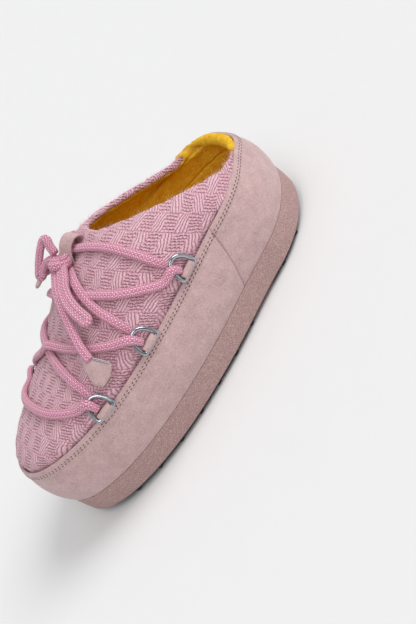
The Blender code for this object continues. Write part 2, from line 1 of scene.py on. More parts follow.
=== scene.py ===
"""Looks of the knit mule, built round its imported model."""

import math

import bpy
import numpy as np
from mathutils import Matrix, Vector


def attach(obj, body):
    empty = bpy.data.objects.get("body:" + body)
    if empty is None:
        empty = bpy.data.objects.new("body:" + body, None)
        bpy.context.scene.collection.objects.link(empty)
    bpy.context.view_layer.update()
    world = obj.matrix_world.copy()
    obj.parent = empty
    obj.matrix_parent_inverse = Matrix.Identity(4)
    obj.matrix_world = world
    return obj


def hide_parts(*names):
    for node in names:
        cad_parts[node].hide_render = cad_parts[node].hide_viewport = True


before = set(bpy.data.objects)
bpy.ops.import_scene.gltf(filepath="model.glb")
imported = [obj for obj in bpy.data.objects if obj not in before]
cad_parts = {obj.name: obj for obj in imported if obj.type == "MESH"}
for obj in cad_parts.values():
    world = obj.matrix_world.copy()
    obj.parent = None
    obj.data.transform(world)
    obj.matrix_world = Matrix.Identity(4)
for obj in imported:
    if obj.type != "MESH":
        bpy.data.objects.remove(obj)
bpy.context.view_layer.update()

# Sizes in metres, the same as the model's
SOLE_LENGTH = 0.2755
HEEL_WIDTH = 0.1138
BALL_WIDTH = 0.1238
HEEL_ROUND = 0.067
TOE_ROUND = 0.137
HEEL_POWER = 1.94
TOE_POWER = 2.21
TOE_SPRING = 0.0036
TOE_SPRING_LENGTH = 0.105
HEEL_SPRING = 0.0042
HEEL_SPRING_LENGTH = 0.044
BAND_BOTTOM = 0.0038
BAND_TOP = 0.0222
INSOLE_BOTTOM = 0.0317
INSOLE_THICKNESS = 0.0050
BAND_PROUD = 0.0008
WALL_BULGE = 0.0042
SUEDE_THICKNESS = 0.0022
UPPER_WALL = 0.0040
GAP = 0.0003
COLLAR_BACK = 0.0065
COLLAR_WIDEST = 0.0320
COLLAR_FRONT = 0.1125
COLLAR_WIDTH = 0.0720
COLLAR_POWER = 2.4
COLLAR_SWING = 1.7
HEEL_HEIGHT = 0.0679
INSTEP_HEIGHT = 0.1176
RIM_OUT = 0.0050
RIM_DROP = 0.0015
KNIT_POWER = 2.05
TOE_NOSE = 0.0300
KNIT_FROM = 0.014
KNIT_FULL = 0.036
FIELD_FROM = 0.030
FIELD_FULL = 0.070
COUNTER_SEAM_TOP = 0.0732
COUNTER_SEAM_FOOT = 0.0918
RING_PLACES = (0.1045, 0.1580, 0.2105)
RING_WIDTH = 0.0185
RING_DEPTH = 0.0150
RING_WIRE = 0.0022
RING_CLEARANCE = 0.0008
RING_SHOULDER = 0.85
TAB_ROUND = 0.0050
LACE_WIDTH = 0.0062
PLATE_INSET = 0.0035
STUD_PITCH = 0.0154
STUD_EDGE = 0.0075
STUD_ROWS = (0.043, 0.066, 0.114, 0.137, 0.160, 0.183, 0.206, 0.229, 0.250)

# Columns: share of the sole length, height of the suede's top edge
SEAM_HEIGHTS = (
    (0.00, 0.0669),
    (0.07, 0.0669),
    (0.21, 0.0662),
    (0.48, 0.0642),
    (0.76, 0.0631),
    (1.00, 0.0671),
)

# Columns: share of the collar length, share of the climb from heel height to instep height
COLLAR_CLIMB = (
    (0.00, 0.000),
    (0.14, 0.000),
    (0.21, 0.026),
    (0.34, 0.168),
    (0.61, 0.512),
    (0.88, 0.860),
    (1.00, 1.000),
)

# Columns: share of the sole length, rise of the knit's crown above the suede's top edge
CROWN_RISE = (
    (0.41, 0.0533),
    (0.48, 0.0515),
    (0.57, 0.0450),
    (0.70, 0.0302),
    (0.81, 0.0228),
    (0.92, 0.0146),
    (1.00, 0.0100),
)


def lerp(a, b, share):
    return a + (b - a) * share


def smoothstep(share):
    share = np.clip(share, 0.0, 1.0)
    return share * share * (3 - 2 * share)


def read_table(rows, share):
    """Values at shares, on a smooth curve through the rows."""
    places = np.array([row[0] for row in rows])
    values = np.array([row[1] for row in rows])
    slopes = np.gradient(values, places)
    share = np.clip(share, places[0], places[-1])
    i = np.clip(np.searchsorted(places, share, side="right") - 1, 0, len(rows) - 2)
    width = places[i + 1] - places[i]
    t = (share - places[i]) / width
    start = (1 + 2 * t) * (1 - t) ** 2 * values[i] + t * (1 - t) ** 2 * width * slopes[i]
    end = t * t * (3 - 2 * t) * values[i + 1] - t * t * (1 - t) * width * slopes[i + 1]
    return start + end


def round_end(reach, power):
    return (1 - np.clip(reach, 0.0, 1.0) ** power) ** (1 / power)


def half_width(s):
    """Half the width of the sole outline at a distance from the heel end."""
    toe_start = SOLE_LENGTH - TOE_ROUND
    heel = HEEL_WIDTH / 2 * round_end(1 - s / HEEL_ROUND, HEEL_POWER)
    toe = BALL_WIDTH / 2 * round_end((s - toe_start) / TOE_ROUND, TOE_POWER)
    middle = lerp(HEEL_WIDTH, BALL_WIDTH, smoothstep((s - HEEL_ROUND) / (toe_start - HEEL_ROUND))) / 2
    return np.where(s < HEEL_ROUND, heel, np.where(s > toe_start, toe, middle))


def spring(s):
    toe = np.maximum(0.0, (s - SOLE_LENGTH + TOE_SPRING_LENGTH) / TOE_SPRING_LENGTH)
    heel = np.maximum(0.0, (HEEL_SPRING_LENGTH - s) / HEEL_SPRING_LENGTH)
    return TOE_SPRING * toe**2 + HEEL_SPRING * heel**2


def side_of(turn):
    return np.where(np.sin(turn) >= 0, 1.0, -1.0)


def edge_at(turn):
    s = SOLE_LENGTH * (1 + np.cos(turn)) / 2
    return np.stack([s, side_of(turn) * half_width(s)], axis=-1)


def edge(turn, out=0.0):
    """Sole outline moved outwards. A turn of 0 is the toe, of pi the heel, and positive is the left."""
    along = edge_at(turn + 0.002) - edge_at(turn - 0.002)
    away = np.stack([along[..., 1], -along[..., 0]], axis=-1)
    away = away / np.linalg.norm(away, axis=-1, keepdims=True)
    return edge_at(turn) + np.asarray(out)[..., None] * away


def seam_height(s):
    return read_table(SEAM_HEIGHTS, s / SOLE_LENGTH)


def collar_height(s):
    share = (s - COLLAR_BACK) / (COLLAR_FRONT - COLLAR_BACK)
    return lerp(HEEL_HEIGHT, INSTEP_HEIGHT, read_table(COLLAR_CLIMB, share))


def collar_half_width(s):
    back = (COLLAR_WIDEST - s) / (COLLAR_WIDEST - COLLAR_BACK)
    front = (s - COLLAR_WIDEST) / (COLLAR_FRONT - COLLAR_WIDEST)
    return COLLAR_WIDTH / 2 * round_end(np.where(s < COLLAR_WIDEST, back, front), COLLAR_POWER)


def collar_point(turn):
    """Crest of the collar that belongs to a turn of the sole outline."""
    folded = np.abs(np.remainder(turn + math.pi, 2 * math.pi) - math.pi)
    swing = math.pi * (folded / math.pi) ** COLLAR_SWING
    reach = np.abs(np.cos(swing)) ** (2 / COLLAR_POWER)
    s = lerp(COLLAR_WIDEST, np.where(swing < math.pi / 2, COLLAR_FRONT, COLLAR_BACK), reach)
    y = side_of(turn) * COLLAR_WIDTH / 2 * np.maximum(np.sin(swing), 0.0) ** (2 / COLLAR_POWER)
    return np.stack([s, y, collar_height(s)], axis=-1)


def knit_share(s):
    """How far the knit comes down outside the collar: 0 round the heel and 1 along the sides."""
    return smoothstep((s - KNIT_FROM) / (KNIT_FULL - KNIT_FROM))


def seam_point(turn):
    """Top outer edge of the suede."""
    wall = edge(turn, np.zeros_like(turn))
    crest = collar_point(turn)
    outward = wall - crest[..., :2]
    outward = outward / np.linalg.norm(outward, axis=-1, keepdims=True)
    share = knit_share(wall[..., 0])
    plan = lerp(crest[..., :2] + RIM_OUT * outward, wall, share[..., None])
    height = lerp(crest[..., 2] - RIM_DROP, seam_height(wall[..., 0]), share)
    return np.concatenate([plan, height[..., None]], axis=-1)


def crown_rise(s):
    nose = np.maximum(0.0, (s - SOLE_LENGTH + TOE_NOSE) / TOE_NOSE)
    front = read_table(CROWN_RISE, s / SOLE_LENGTH) * round_end(nose, 2)
    back = np.clip(s, FIELD_FROM, COLLAR_FRONT)
    cut = round_end(collar_half_width(back) / half_width(back), KNIT_POWER)
    return np.where(s >= COLLAR_FRONT, front, (collar_height(back) - seam_height(back)) / cut)


def knit_height(s, y):
    s = np.minimum(s, SOLE_LENGTH)
    wide = np.maximum(half_width(s), 1e-6)
    return seam_height(s) + crown_rise(s) * round_end(np.abs(y) / wide, KNIT_POWER)


def knit_crown(s, swing):
    angle = np.radians(swing)
    cosine = np.cos(angle)
    across = np.sign(cosine) * np.abs(cosine) ** (2 / KNIT_POWER)
    rise = crown_rise(s) * np.maximum(np.sin(angle), 0.0) ** (2 / KNIT_POWER)
    return np.stack([s, half_width(s) * across, seam_height(s) + rise], axis=-1)


def knit_frame(s, swing):
    """Points over the knit and its normals there. The swing is 0 at the left edge and 180 at the right."""
    s = np.asarray(s, float)
    swing = np.asarray(swing, float)
    along = knit_crown(s + 0.0005, swing) - knit_crown(s - 0.0005, swing)
    over = knit_crown(s, np.minimum(swing + 0.5, 180)) - knit_crown(s, np.maximum(swing - 0.5, 0))
    normal = np.cross(over, along)
    return knit_crown(s, swing), normal / np.linalg.norm(normal, axis=-1, keepdims=True)


def knit_at(s, swing, lift=0.0):
    point, normal = knit_frame(s, swing)
    return point + lift * normal


def skin(turn, v):
    """Outer skin of the shoe. v runs from 0 at the band to 1 at the suede's top edge and 2 at the collar."""
    turn, v = np.broadcast_arrays(np.asarray(turn, float), np.asarray(v, float))
    seam = seam_point(turn)
    plain = edge(turn, np.zeros_like(turn))
    low = np.clip(v, 0, 1)
    wall = edge(turn, lerp(BAND_PROUD, 0, low) + WALL_BULGE * 4 * low * (1 - low))
    wall = wall + (seam[..., :2] - plain) * (low * low)[..., None]
    wall_height = lerp(BAND_TOP + spring(plain[..., 0]), seam[..., 2], low)
    crest = collar_point(turn)
    angle = (np.clip(v, 1, 2) - 1) * math.pi / 2
    plan = lerp(seam[..., :2], crest[..., :2], (1 - np.cos(angle))[..., None])
    rounded = lerp(seam[..., 2], crest[..., 2], np.sin(angle))
    share = smoothstep((plain[..., 0] - FIELD_FROM) / (FIELD_FULL - FIELD_FROM))
    height = lerp(rounded, knit_height(plan[..., 0], plan[..., 1]), share)
    upper = v > 1
    xy = np.where(upper[..., None], plan, wall)
    return np.concatenate([xy, np.where(upper, height, wall_height)[..., None]], axis=-1)


def skin_normal(turn, v):
    turn, v = np.broadcast_arrays(np.asarray(turn, float), np.asarray(v, float))
    low = np.where(v > 1, np.maximum(v - 0.02, 1), np.maximum(v - 0.02, 0))
    high = np.where(v < 1, np.minimum(v + 0.02, 1), np.minimum(v + 0.02, 2))
    along = skin(turn + 0.02, v) - skin(turn - 0.02, v)
    up = skin(turn, high) - skin(turn, low)
    normal = np.cross(along, up)
    return normal / np.linalg.norm(normal, axis=-1, keepdims=True)


def to_model(points):
    """From distance along the sole to the model's own X."""
    return np.asarray(points, float) - np.array([SOLE_LENGTH / 2, 0, 0])


def srgb(code):
    """Linear red, green and blue of a hex colour."""
    parts = [int(code[i : i + 2], 16) / 255 for i in (1, 3, 5)]
    return tuple(part / 12.92 if part <= 0.04045 else ((part + 0.055) / 1.055) ** 2.4 for part in parts)


def unit(vectors):
    vectors = np.asarray(vectors, float)
    return vectors / np.maximum(np.linalg.norm(vectors, axis=-1, keepdims=True), 1e-12)


def run_length(points, axis=0):
    """Distance travelled along rows of points, from 0."""
    steps = np.linalg.norm(np.diff(points, axis=axis), axis=-1)
    return np.insert(np.cumsum(steps, axis=axis), 0, 0.0, axis=axis)


# Camera: its angle and roll are the photograph's, its aim is the middle of the frame
PHOTO_WIDTH = 416
PHOTO_HEIGHT = 624
FOCAL_PIXELS = 1215
AIM = np.array([0, 0, 0.05365])
AIM_PIXEL = (139.67, 307.91)
CAMERA_WAY = np.array([0.06254, 0.89431, 0.44307])
CAMERA_DISTANCE = 0.855
CAMERA_ROLL = math.radians(-58.16)
SENSOR = 36


def aim_camera():
    sight = -unit(CAMERA_WAY)
    level = unit(np.cross(sight, [0, 0, 1]))
    upward = np.cross(level, sight)
    right = math.cos(CAMERA_ROLL) * level + math.sin(CAMERA_ROLL) * upward
    top = -math.sin(CAMERA_ROLL) * level + math.cos(CAMERA_ROLL) * upward
    across = (AIM_PIXEL[0] - PHOTO_WIDTH / 2) / FOCAL_PIXELS
    down = (AIM_PIXEL[1] - PHOTO_HEIGHT / 2) / FOCAL_PIXELS
    forward = unit(sight - across * right + down * top)
    right = unit(right - forward * np.dot(right, forward))
    top = np.cross(right, forward)
    lens = bpy.data.cameras.new("studio camera")
    lens.sensor_width = SENSOR
    lens.lens = FOCAL_PIXELS * SENSOR / PHOTO_HEIGHT
    camera = bpy.data.objects.new("studio camera", lens)
    turned = Matrix((right, top, -forward)).transposed()
    spot = AIM + CAMERA_DISTANCE * unit(CAMERA_WAY)
    camera.matrix_world = Matrix.Translation(Vector(spot)) @ turned.to_4x4()
    bpy.context.scene.collection.objects.link(camera)
    bpy.context.scene.camera = camera


aim_camera()


MATH = "ShaderNodeMath"
RANGE = "ShaderNodeMapRange"
MIX = "ShaderNodeMix"
NOISE = "ShaderNodeTexNoise"
BUMP = "ShaderNodeBump"
PLACE = "ShaderNodeTexCoord"
MAPPING = "ShaderNodeMapping"
SPLIT = "ShaderNodeSeparateXYZ"


def fill_inputs(tree, node, inputs):
    """Sets a node's inputs, by name or number, to values or hex colours, or links them from sockets."""
    for key, value in inputs.items():
        socket = node.inputs[key]
        if isinstance(value, bpy.types.NodeSocket):
            tree.links.new(value, socket)
        else:
            socket.default_value = (*srgb(value), 1) if isinstance(value, str) else value


def add_node(tree, kind, *values, out=0, at=None, **named):
    """Output of a new node. Values fill its inputs in order, at by number, and names with a capital are
    inputs too. Other names are the node's settings."""
    node = tree.nodes.new(kind)
    inputs = {**dict(enumerate(values)), **(at or {})}
    for name, value in named.items():
        if name[0].isupper():
            inputs[name] = value
        else:
            setattr(node, name, value)
    fill_inputs(tree, node, inputs)
    return node.outputs[out]


def new_material(name, colour, roughness, **values):
    """Material, its node tree and its shader. Values are the shader's, with _ for a space in a name."""
    material = bpy.data.materials.new(name)
    material.use_nodes = True
    tree = material.node_tree
    shader = tree.nodes["Principled BSDF"]
    given = {key.replace("_", " "): value for key, value in values.items()}
    fill_inputs(tree, shader, {"Base Color": colour, "Roughness": roughness, **given})
    material.diffuse_color = (*srgb(colour), 1)
    return material, tree, shader


def surface(tree, shader, colour, depth, height, **inputs):
    """Gives a shader its colour, and a relief whose full height is this many metres."""
    relief = add_node(tree, BUMP, Distance=depth, Height=height)
    fill_inputs(tree, shader, {"Base Color": colour, "Normal": relief, **inputs})


def tones(tree, shade, colour, *stops):
    """Colour that changes as a shade rises. A stop says where its change begins and ends, and its colour."""
    for begin, end, following in stops:
        share = add_node(tree, RANGE, shade, begin, end)
        colour = add_node(tree, MIX, share, at={6: colour, 7: following}, out=2, data_type="RGBA")
    return colour


def weighed(tree, first, share, second, other):
    """Sum of two patterns, each times its share."""
    rest = add_node(tree, MATH, second, other, operation="MULTIPLY")
    return add_node(tree, MATH, first, share, rest, operation="MULTIPLY_ADD")


def ripple(tree, place, turns):
    """Sine wave over a place, whose angle grows by this much a millimetre."""
    angle = add_node(tree, MATH, place, turns, operation="MULTIPLY")
    return add_node(tree, MATH, angle, operation="SINE")


def ridges(tree, place, pitch):
    """Rounded ridges at a pitch: 1 on their crests, and 0 between them."""
    return add_node(tree, MATH, ripple(tree, place, math.pi / pitch), operation="ABSOLUTE")


# Knit: a basket pattern of ribbed and purled blocks, in millimetres of the cloth
BLOCK_WIDTH = 7.4
BLOCK_LENGTH = 12.5
RIB_PITCH = 1.85
PURL_PITCH = 1.95
DASH_PITCH = 2.3
CHAIN_PITCH = 2.1
RIB_SLANT = 0.34


def knit_material():
    """Pink wool and acrylic knit: matt and soft-edged. The gaps between its ribs and purl bars are painted
    dark as painted shade, and its crests light as painted highlight.
    """
    material, tree, shader = new_material(
        "pink wool knit", "#C98C9B", 0.95, Specular_IOR_Level=0.2, Sheen_Weight=0.35, Sheen_Roughness=0.6
    )
    cloth = add_node(tree, "ShaderNodeUVMap", uv_map="cloth")
    # Loose yarn: the pattern wanders by about 0.6 mm
    stray = add_node(tree, NOISE, cloth, Scale=0.10)
    stray = add_node(tree, MATH, stray, 4.0, -2.0, operation="MULTIPLY_ADD")
    across = add_node(tree, MATH, add_node(tree, SPLIT, cloth), stray, operation="ADD")
    longer = add_node(tree, MAPPING, cloth, Scale=(1.0, 0.6, 1.0))
    stray = add_node(tree, NOISE, longer, Scale=0.16)
    stray = add_node(tree, MATH, stray, 3.0, -1.5, operation="MULTIPLY_ADD")
    along = add_node(tree, MATH, add_node(tree, SPLIT, cloth, out=1), stray, operation="ADD")
    column = add_node(tree, MATH, across, BLOCK_WIDTH, operation="DIVIDE")
    row = add_node(tree, MATH, along, BLOCK_LENGTH, operation="DIVIDE")
    column_wave = ripple(tree, column, math.pi)
    check = add_node(tree, MATH, column_wave, ripple(tree, row, math.pi), operation="MULTIPLY")
    ribbed = add_node(tree, RANGE, check, -0.22, 0.22)
    # Ribs lean to one side in one column of blocks and to the other in the next
    lean = add_node(tree, MATH, column_wave, operation="SIGN")
    lean = add_node(tree, MATH, lean, RIB_SLANT, operation="MULTIPLY")
    leant = add_node(tree, MATH, along, lean, across, operation="MULTIPLY_ADD")
    rib = add_node(tree, MATH, ridges(tree, leant, RIB_PITCH), 0.42, operation="POWER")
    # Each rib is a chain of slanted stitches
    chain = add_node(tree, MATH, along, leant, operation="ADD")
    chain = ripple(tree, chain, 2 * math.pi / CHAIN_PITCH)
    rib = add_node(tree, MATH, chain, 0.07, rib, operation="MULTIPLY_ADD")
    bar = add_node(tree, MATH, ridges(tree, along, PURL_PITCH), 0.8, operation="POWER")
    gap = add_node(tree, MATH, 1.0, bar, operation="SUBTRACT")
    # Purl bars part from each other in short dashes, staggered from bar to bar. The holes at the dashes are
    # painted dark as painted shade
    number = add_node(tree, MATH, along, PURL_PITCH, operation="DIVIDE")
    number = add_node(tree, MATH, number, operation="FLOOR")
    shift = add_node(tree, MATH, number, 2.0, operation="MODULO")
    shift = add_node(tree, MATH, shift, DASH_PITCH / 2, operation="MULTIPLY")
    dash = ridges(tree, add_node(tree, MATH, across, shift, operation="ADD"), DASH_PITCH)
    dash = add_node(tree, RANGE, dash, 0.30, 0.75, 0.0, 1.25)
    hole = add_node(tree, MATH, gap, dash, operation="MULTIPLY")
    purl = add_node(tree, MATH, 0.95, hole, operation="SUBTRACT")
    yarn = add_node(tree, MIX, ribbed, at={2: purl, 3: rib}, data_type="FLOAT")
    # Wool fibres, drawn at 0.8 mm because the real ones are too fine to show
    brushed = add_node(tree, MAPPING, cloth, Scale=(1.25, 0.60, 1.0))
    fibre = add_node(tree, NOISE, brushed, Scale=1.25, Detail=4.0, Roughness=0.8)
    # Painted shade and painted highlight: the colour darkens with the yarn's gaps and holes and lightens on
    # its crests. The fibre noise adds real streaks of tone
    shade = add_node(tree, MATH, yarn, 0.52, -0.45, operation="MULTIPLY_ADD")
    shade = add_node(tree, MATH, fibre, 1.20, shade, operation="MULTIPLY_ADD")
    # Puffed ribbed blocks are painted a little lighter than the sunk purl blocks, as painted light
    raised = add_node(tree, MATH, ribbed, 0.5, operation="SUBTRACT")
    shade = add_node(tree, MATH, raised, 0.05, shade, operation="MULTIPLY_ADD")
    colour = tones(tree, shade, "#6E2D40", (-0.05, 0.36, "#BE6C83"), (0.36, 0.74, "#FBD3DD"))
    heather = add_node(tree, NOISE, cloth, Scale=0.55, Detail=3.0, Roughness=0.6)
    share = add_node(tree, RANGE, heather, 0.3, 0.7, 0.0, 0.20)
    colour = add_node(tree, MIX, share, at={6: colour, 7: "#CE869A"}, out=2, data_type="RGBA")
    height = add_node(tree, MATH, fibre, 0.55, yarn, operation="MULTIPLY_ADD")
    surface(tree, shader, colour, 0.0010, height)
    return material


def knit_relief(uv):
    """Puff of the ribbed blocks over the purled ones, in metres."""
    check = np.sin(np.pi * uv[..., 0] / BLOCK_WIDTH) * np.sin(np.pi * uv[..., 1] / BLOCK_LENGTH)
    pillow = np.abs(check) ** 0.5
    return np.where(check > 0, 0.00035 * pillow, -0.00022 * pillow) + 0.00025


def fleece_material():
    """Mustard polyester fleece: short brushed pile, so it is matt with a bright nap on its curves."""
    material, tree, shader = new_material(
        "mustard fleece", "#E9A514", 1.0, Specular_IOR_Level=0.1,
        Sheen_Weight=0.5, Sheen_Roughness=0.5, Sheen_Tint="#F7C443",
    )
    place = add_node(tree, PLACE, out="Object")
    # Pile tufts of about 1 mm, in clumps of about 5 mm
    tuft = add_node(tree, NOISE, place, Scale=900.0, Detail=3.0, Roughness=0.6)
    clump = add_node(tree, NOISE, place, Scale=210.0)
    shade = weighed(tree, clump, 0.45, tuft, 0.55)
    # Partly painted highlight: the colour lightens where tufts and clumps stand high in the bump, and it also
    # varies as the pile's real uneven tone
    colour = tones(tree, shade, "#EBA411", (0.32, 0.68, "#FFDA4C"))
    surface(tree, shader, colour, 0.0016, shade)
    return material


def suede_material():
    """Split calf suede: brushed, quite matt, clouded where the nap lies another way."""
    material, tree, shader = new_material(
        "pale pink suede", "#B49293", 0.92, Specular_IOR_Level=0.25, Sheen_Weight=0.35, Sheen_Roughness=0.45
    )
    place = add_node(tree, PLACE, out="Object")
    # Nap of about 1 mm, drawn coarser than real so that it shows, and clouds of 8 mm
    nap = add_node(tree, NOISE, place, Scale=950.0, Detail=4.0, Roughness=0.8)
    cloud = add_node(tree, NOISE, place, Scale=130.0, Detail=4.0, Roughness=0.6)
    colour = tones(tree, weighed(tree, nap, 0.70, cloud, 0.30), "#B49293", (0.34, 0.66, "#E2C2C0"))
    surface(tree, shader, colour, 0.00050, nap)
    return material


def band_material():
    """Moulded foam rubber with ground cork and grit: rough, finely speckled, darker than the suede."""
    material, tree, shader = new_material("speckled foam rubber", "#B89894", 0.9, Specular_IOR_Level=0.3)
    place = add_node(tree, PLACE, out="Object")
    grit = add_node(tree, "ShaderNodeTexVoronoi", out="Distance", Vector=place, Scale=1550.0)
    speck = add_node(tree, NOISE, place, Scale=1500.0, Roughness=0.7)
    shade = weighed(tree, grit, 0.6, speck, 0.6)
    colour = tones(tree, shade, "#8D6C6A", (0.30, 0.85, "#D1B0AC"))
    surface(tree, shader, colour, 0.0005, shade)
    return material


def rubber_material():
    """Moulded black rubber: half-matt, with a faint spark-eroded grain."""
    material, tree, shader = new_material("black rubber", "#17181A", 0.42, Specular_IOR_Level=0.5)
    place = add_node(tree, PLACE, out="Object")
    grain = add_node(tree, NOISE, place, Scale=1400.0, Roughness=0.6)
    wear = add_node(tree, NOISE, place, Scale=60.0, Detail=3.0, Roughness=0.6)
    colour = tones(tree, wear, "#121315", (0.35, 0.7, "#24262A"))
    roughness = add_node(tree, RANGE, wear, 0.3, 0.7, 0.36, 0.52)
    surface(tree, shader, colour, 0.0001, grain, Roughness=roughness)
    return material


def steel_material():
    """Nickel-plated steel wire: polished, slightly clouded by handling."""
    material, tree, shader = new_material("nickel plated steel", "#B4BAC0", 0.16, Metallic=1.0)
    cloud = add_node(tree, NOISE, add_node(tree, PLACE, out="Object"), Scale=300.0, Detail=3.0, Roughness=0.6)
    roughness = add_node(tree, RANGE, cloud, 0.3, 0.7, 0.12, 0.26)
    relief = add_node(tree, BUMP, Distance=0.00003, Height=cloud)
    fill_inputs(tree, shader, {"Roughness": roughness, "Normal": relief})
    return material


# Pitch of the braid's strands and of its lengthwise ribs, in millimetres. Real strands are finer
BRAID_PITCH = 1.9
BRAID_RIB_PITCH = 2.12


def lace_material():
    """Braided polyester cord: brighter pink than the knit, flecked where its strands cross."""
    material, tree, shader = new_material(
        "pink braided cord", "#C97FA0", 0.75, Specular_IOR_Level=0.35, Sheen_Weight=0.25
    )
    cord = add_node(tree, "ShaderNodeUVMap", uv_map="cloth")
    round_way = add_node(tree, SPLIT, cord)
    steep = add_node(tree, MATH, add_node(tree, SPLIT, cord, out=1), 0.75, operation="MULTIPLY")
    turned = 2 * math.pi / BRAID_PITCH
    first = ripple(tree, add_node(tree, MATH, steep, round_way, operation="ADD"), turned)
    second = ripple(tree, add_node(tree, MATH, steep, round_way, operation="SUBTRACT"), turned)
    braid = add_node(tree, MATH, first, second, operation="MAXIMUM")
    crossing = add_node(tree, MATH, first, second, operation="MULTIPLY")
    rib = ripple(tree, round_way, 2 * math.pi / BRAID_RIB_PITCH)
    stretched = add_node(tree, MAPPING, cord, Scale=(1.0, 0.7, 1.0))
    fleck = add_node(tree, NOISE, stretched, Scale=1.5, Detail=3.0, Roughness=0.7)
    shade = add_node(tree, MATH, crossing, 0.30, 0.40, operation="MULTIPLY_ADD")
    # Painted highlight and painted shade: the strands are painted lighter on their raised crests and darker
    # between them. The crossings, ribs and flecks vary its real tone
    shade = add_node(tree, MATH, braid, 0.16, shade, operation="MULTIPLY_ADD")
    shade = add_node(tree, MATH, rib, 0.08, shade, operation="MULTIPLY_ADD")
    fleck = add_node(tree, MATH, fleck, 0.5, operation="SUBTRACT")
    shade = add_node(tree, MATH, fleck, 1.1, shade, operation="MULTIPLY_ADD")
    colour = tones(tree, shade, "#96506A", (0.05, 0.5, "#DC90AB"), (0.5, 0.9, "#FFEAF1"))
    height = add_node(tree, MATH, braid, 0.5, 0.5, operation="MULTIPLY_ADD")
    surface(tree, shader, colour, 0.00035, height)
    return material


def thread_material():
    """Bonded sewing thread, darker than the suede it lies in."""
    material, tree, shader = new_material("brown pink thread", "#65464A", 0.7, Specular_IOR_Level=0.3)
    twist = add_node(tree, NOISE, add_node(tree, PLACE, out="Object"), Scale=2500.0)
    colour = tones(tree, twist, "#4A3033", (0.0, 1.0, "#6C4B4C"))
    surface(tree, shader, colour, 0.0001, twist)
    return material


def fibre_material():
    """Single wool fibres that stand off the knit: pale, thin and matt."""
    material, tree, shader = new_material("loose wool fibre", "#F2D3DA", 0.9, Specular_IOR_Level=0.2)
    tone = add_node(tree, NOISE, add_node(tree, PLACE, out="Object"), Scale=300.0, Roughness=0.6)
    fill_inputs(tree, shader, {"Base Color": tones(tree, tone, "#E3B4C0", (0.0, 1.0, "#FBE9EC"))})
    return material


def floor_material():
    """Painted studio floor: even and matt, with a grain too faint to see."""
    material, tree, shader = new_material("studio floor paint", "#F1F1F1", 1.0, Specular_IOR_Level=0.0)
    grain = add_node(tree, NOISE, add_node(tree, PLACE, out="Object"), Scale=40.0)
    fill_inputs(tree, shader, {"Base Color": tones(tree, grain, "#F0F0F0", (0.0, 1.0, "#F2F2F2"))})
    return material


KNIT = knit_material()
FLEECE = fleece_material()
SUEDE = suede_material()
BAND = band_material()
RUBBER = rubber_material()
STEEL = steel_material()
LACE = lace_material()
THREAD = thread_material()


WELD_REACH = 0.000002


def pick(piece):
    """Makes a piece the only one selected, and active."""
    bpy.ops.object.select_all(action="DESELECT")
    piece.select_set(True)
    bpy.context.view_layer.objects.active = piece


def lay_grid(name, points, material, uv=None, closed=False):
    """Grid whose corners are laid at points, rows by columns. Its own UV map is in millimetres."""
    rows, columns = points.shape[:2]
    if closed:
        points[:, -1] = points[:, 0]
    bpy.ops.object.select_all(action="DESELECT")
    bpy.ops.mesh.primitive_grid_add(x_subdivisions=columns - 1, y_subdivisions=rows - 1, size=1)
    piece = bpy.context.object
    piece.name = name
    mesh = piece.data
    mesh.name = name
    flat = np.empty(len(mesh.vertices) * 3, np.float32)
    mesh.vertices.foreach_get("co", flat)
    flat = flat.reshape(-1, 3)
    column = np.rint((flat[:, 0] + 0.5) * (columns - 1)).astype(int)
    row = np.rint((flat[:, 1] + 0.5) * (rows - 1)).astype(int)
    mesh.vertices.foreach_set("co", points[row, column].astype(np.float32).ravel())
    corner = np.empty(len(mesh.loops), np.int32)
    mesh.loops.foreach_get("vertex_index", corner)
    layer = mesh.uv_layers[0]
    layer.name = "cloth"
    if uv is None:
        uv = np.stack(np.meshgrid(np.arange(columns), np.arange(rows)), axis=-1)
    layer.uv.foreach_set("vector", uv[row[corner], column[corner]].astype(np.float32).ravel())
    mesh.materials.append(material)
    mesh.update()
    weld(piece)
    bpy.ops.object.shade_smooth()
    return piece


def weld(piece):
    """Merges corners that share a place."""
    pick(piece)
    bpy.ops.object.mode_set(mode="EDIT")
    bpy.ops.mesh.select_all(action="SELECT")
    bpy.ops.mesh.remove_doubles(threshold=WELD_REACH)
    bpy.ops.object.mode_set(mode="OBJECT")


def lay_mesh(name, corners, faces, material):
    """Piece of many small closed shapes."""
    mesh = bpy.data.meshes.new(name)
    mesh.from_pydata(corners.tolist(), [], faces)
    mesh.materials.append(material)
    piece = bpy.data.objects.new(name, mesh)
    bpy.context.scene.collection.objects.link(piece)
    return piece


def join(name, pieces):
    """One piece of several."""
    bpy.ops.object.select_all(action="DESELECT")
    for piece in pieces:
        piece.select_set(True)
    bpy.context.view_layer.objects.active = pieces[0]
    bpy.ops.object.join()
    pieces[0].name = name
    return pieces[0]


def put_on(piece, *nodes, slot=None):
    """Lets a piece ride on the shoe, in the place of its solids."""
    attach(piece, "root")
    if nodes:
        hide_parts(*nodes)
    return piece


def resample(points, count, start=None):
    """Points at even steps along each column of rows by columns, from a start share of its length."""
    length = run_length(points)
    out = np.empty((count, points.shape[1], points.shape[2]))
    for k in range(points.shape[1]):
        low = 0.0 if start is None else start[k]
        places = np.linspace(low, length[-1, k], count)
        for axis in range(points.shape[2]):
            out[:, k, axis] = np.interp(places, length[:, k], points[:, k, axis])
    return out


def grid_normals(points):
    """Outward normals of rows by columns, where the last column repeats the first."""
    wide = np.concatenate([points[:, -2:-1], points, points[:, 1:2]], axis=1)
    along = wide[:, 2:] - wide[:, :-2]
    return unit(np.cross(along, np.gradient(points, axis=0)))


def even_turns(count, v):
    """Turns at even steps round the shoe at one height."""
    fine = np.linspace(-math.pi, math.pi, 2001)
    length = run_length(skin(fine, v))
    return np.interp(np.linspace(0, length[-1], count), length, fine)


# Cloth of the knit: its ribs rise towards the collar at this angle in the side view
RIB_RISE = math.radians(32)


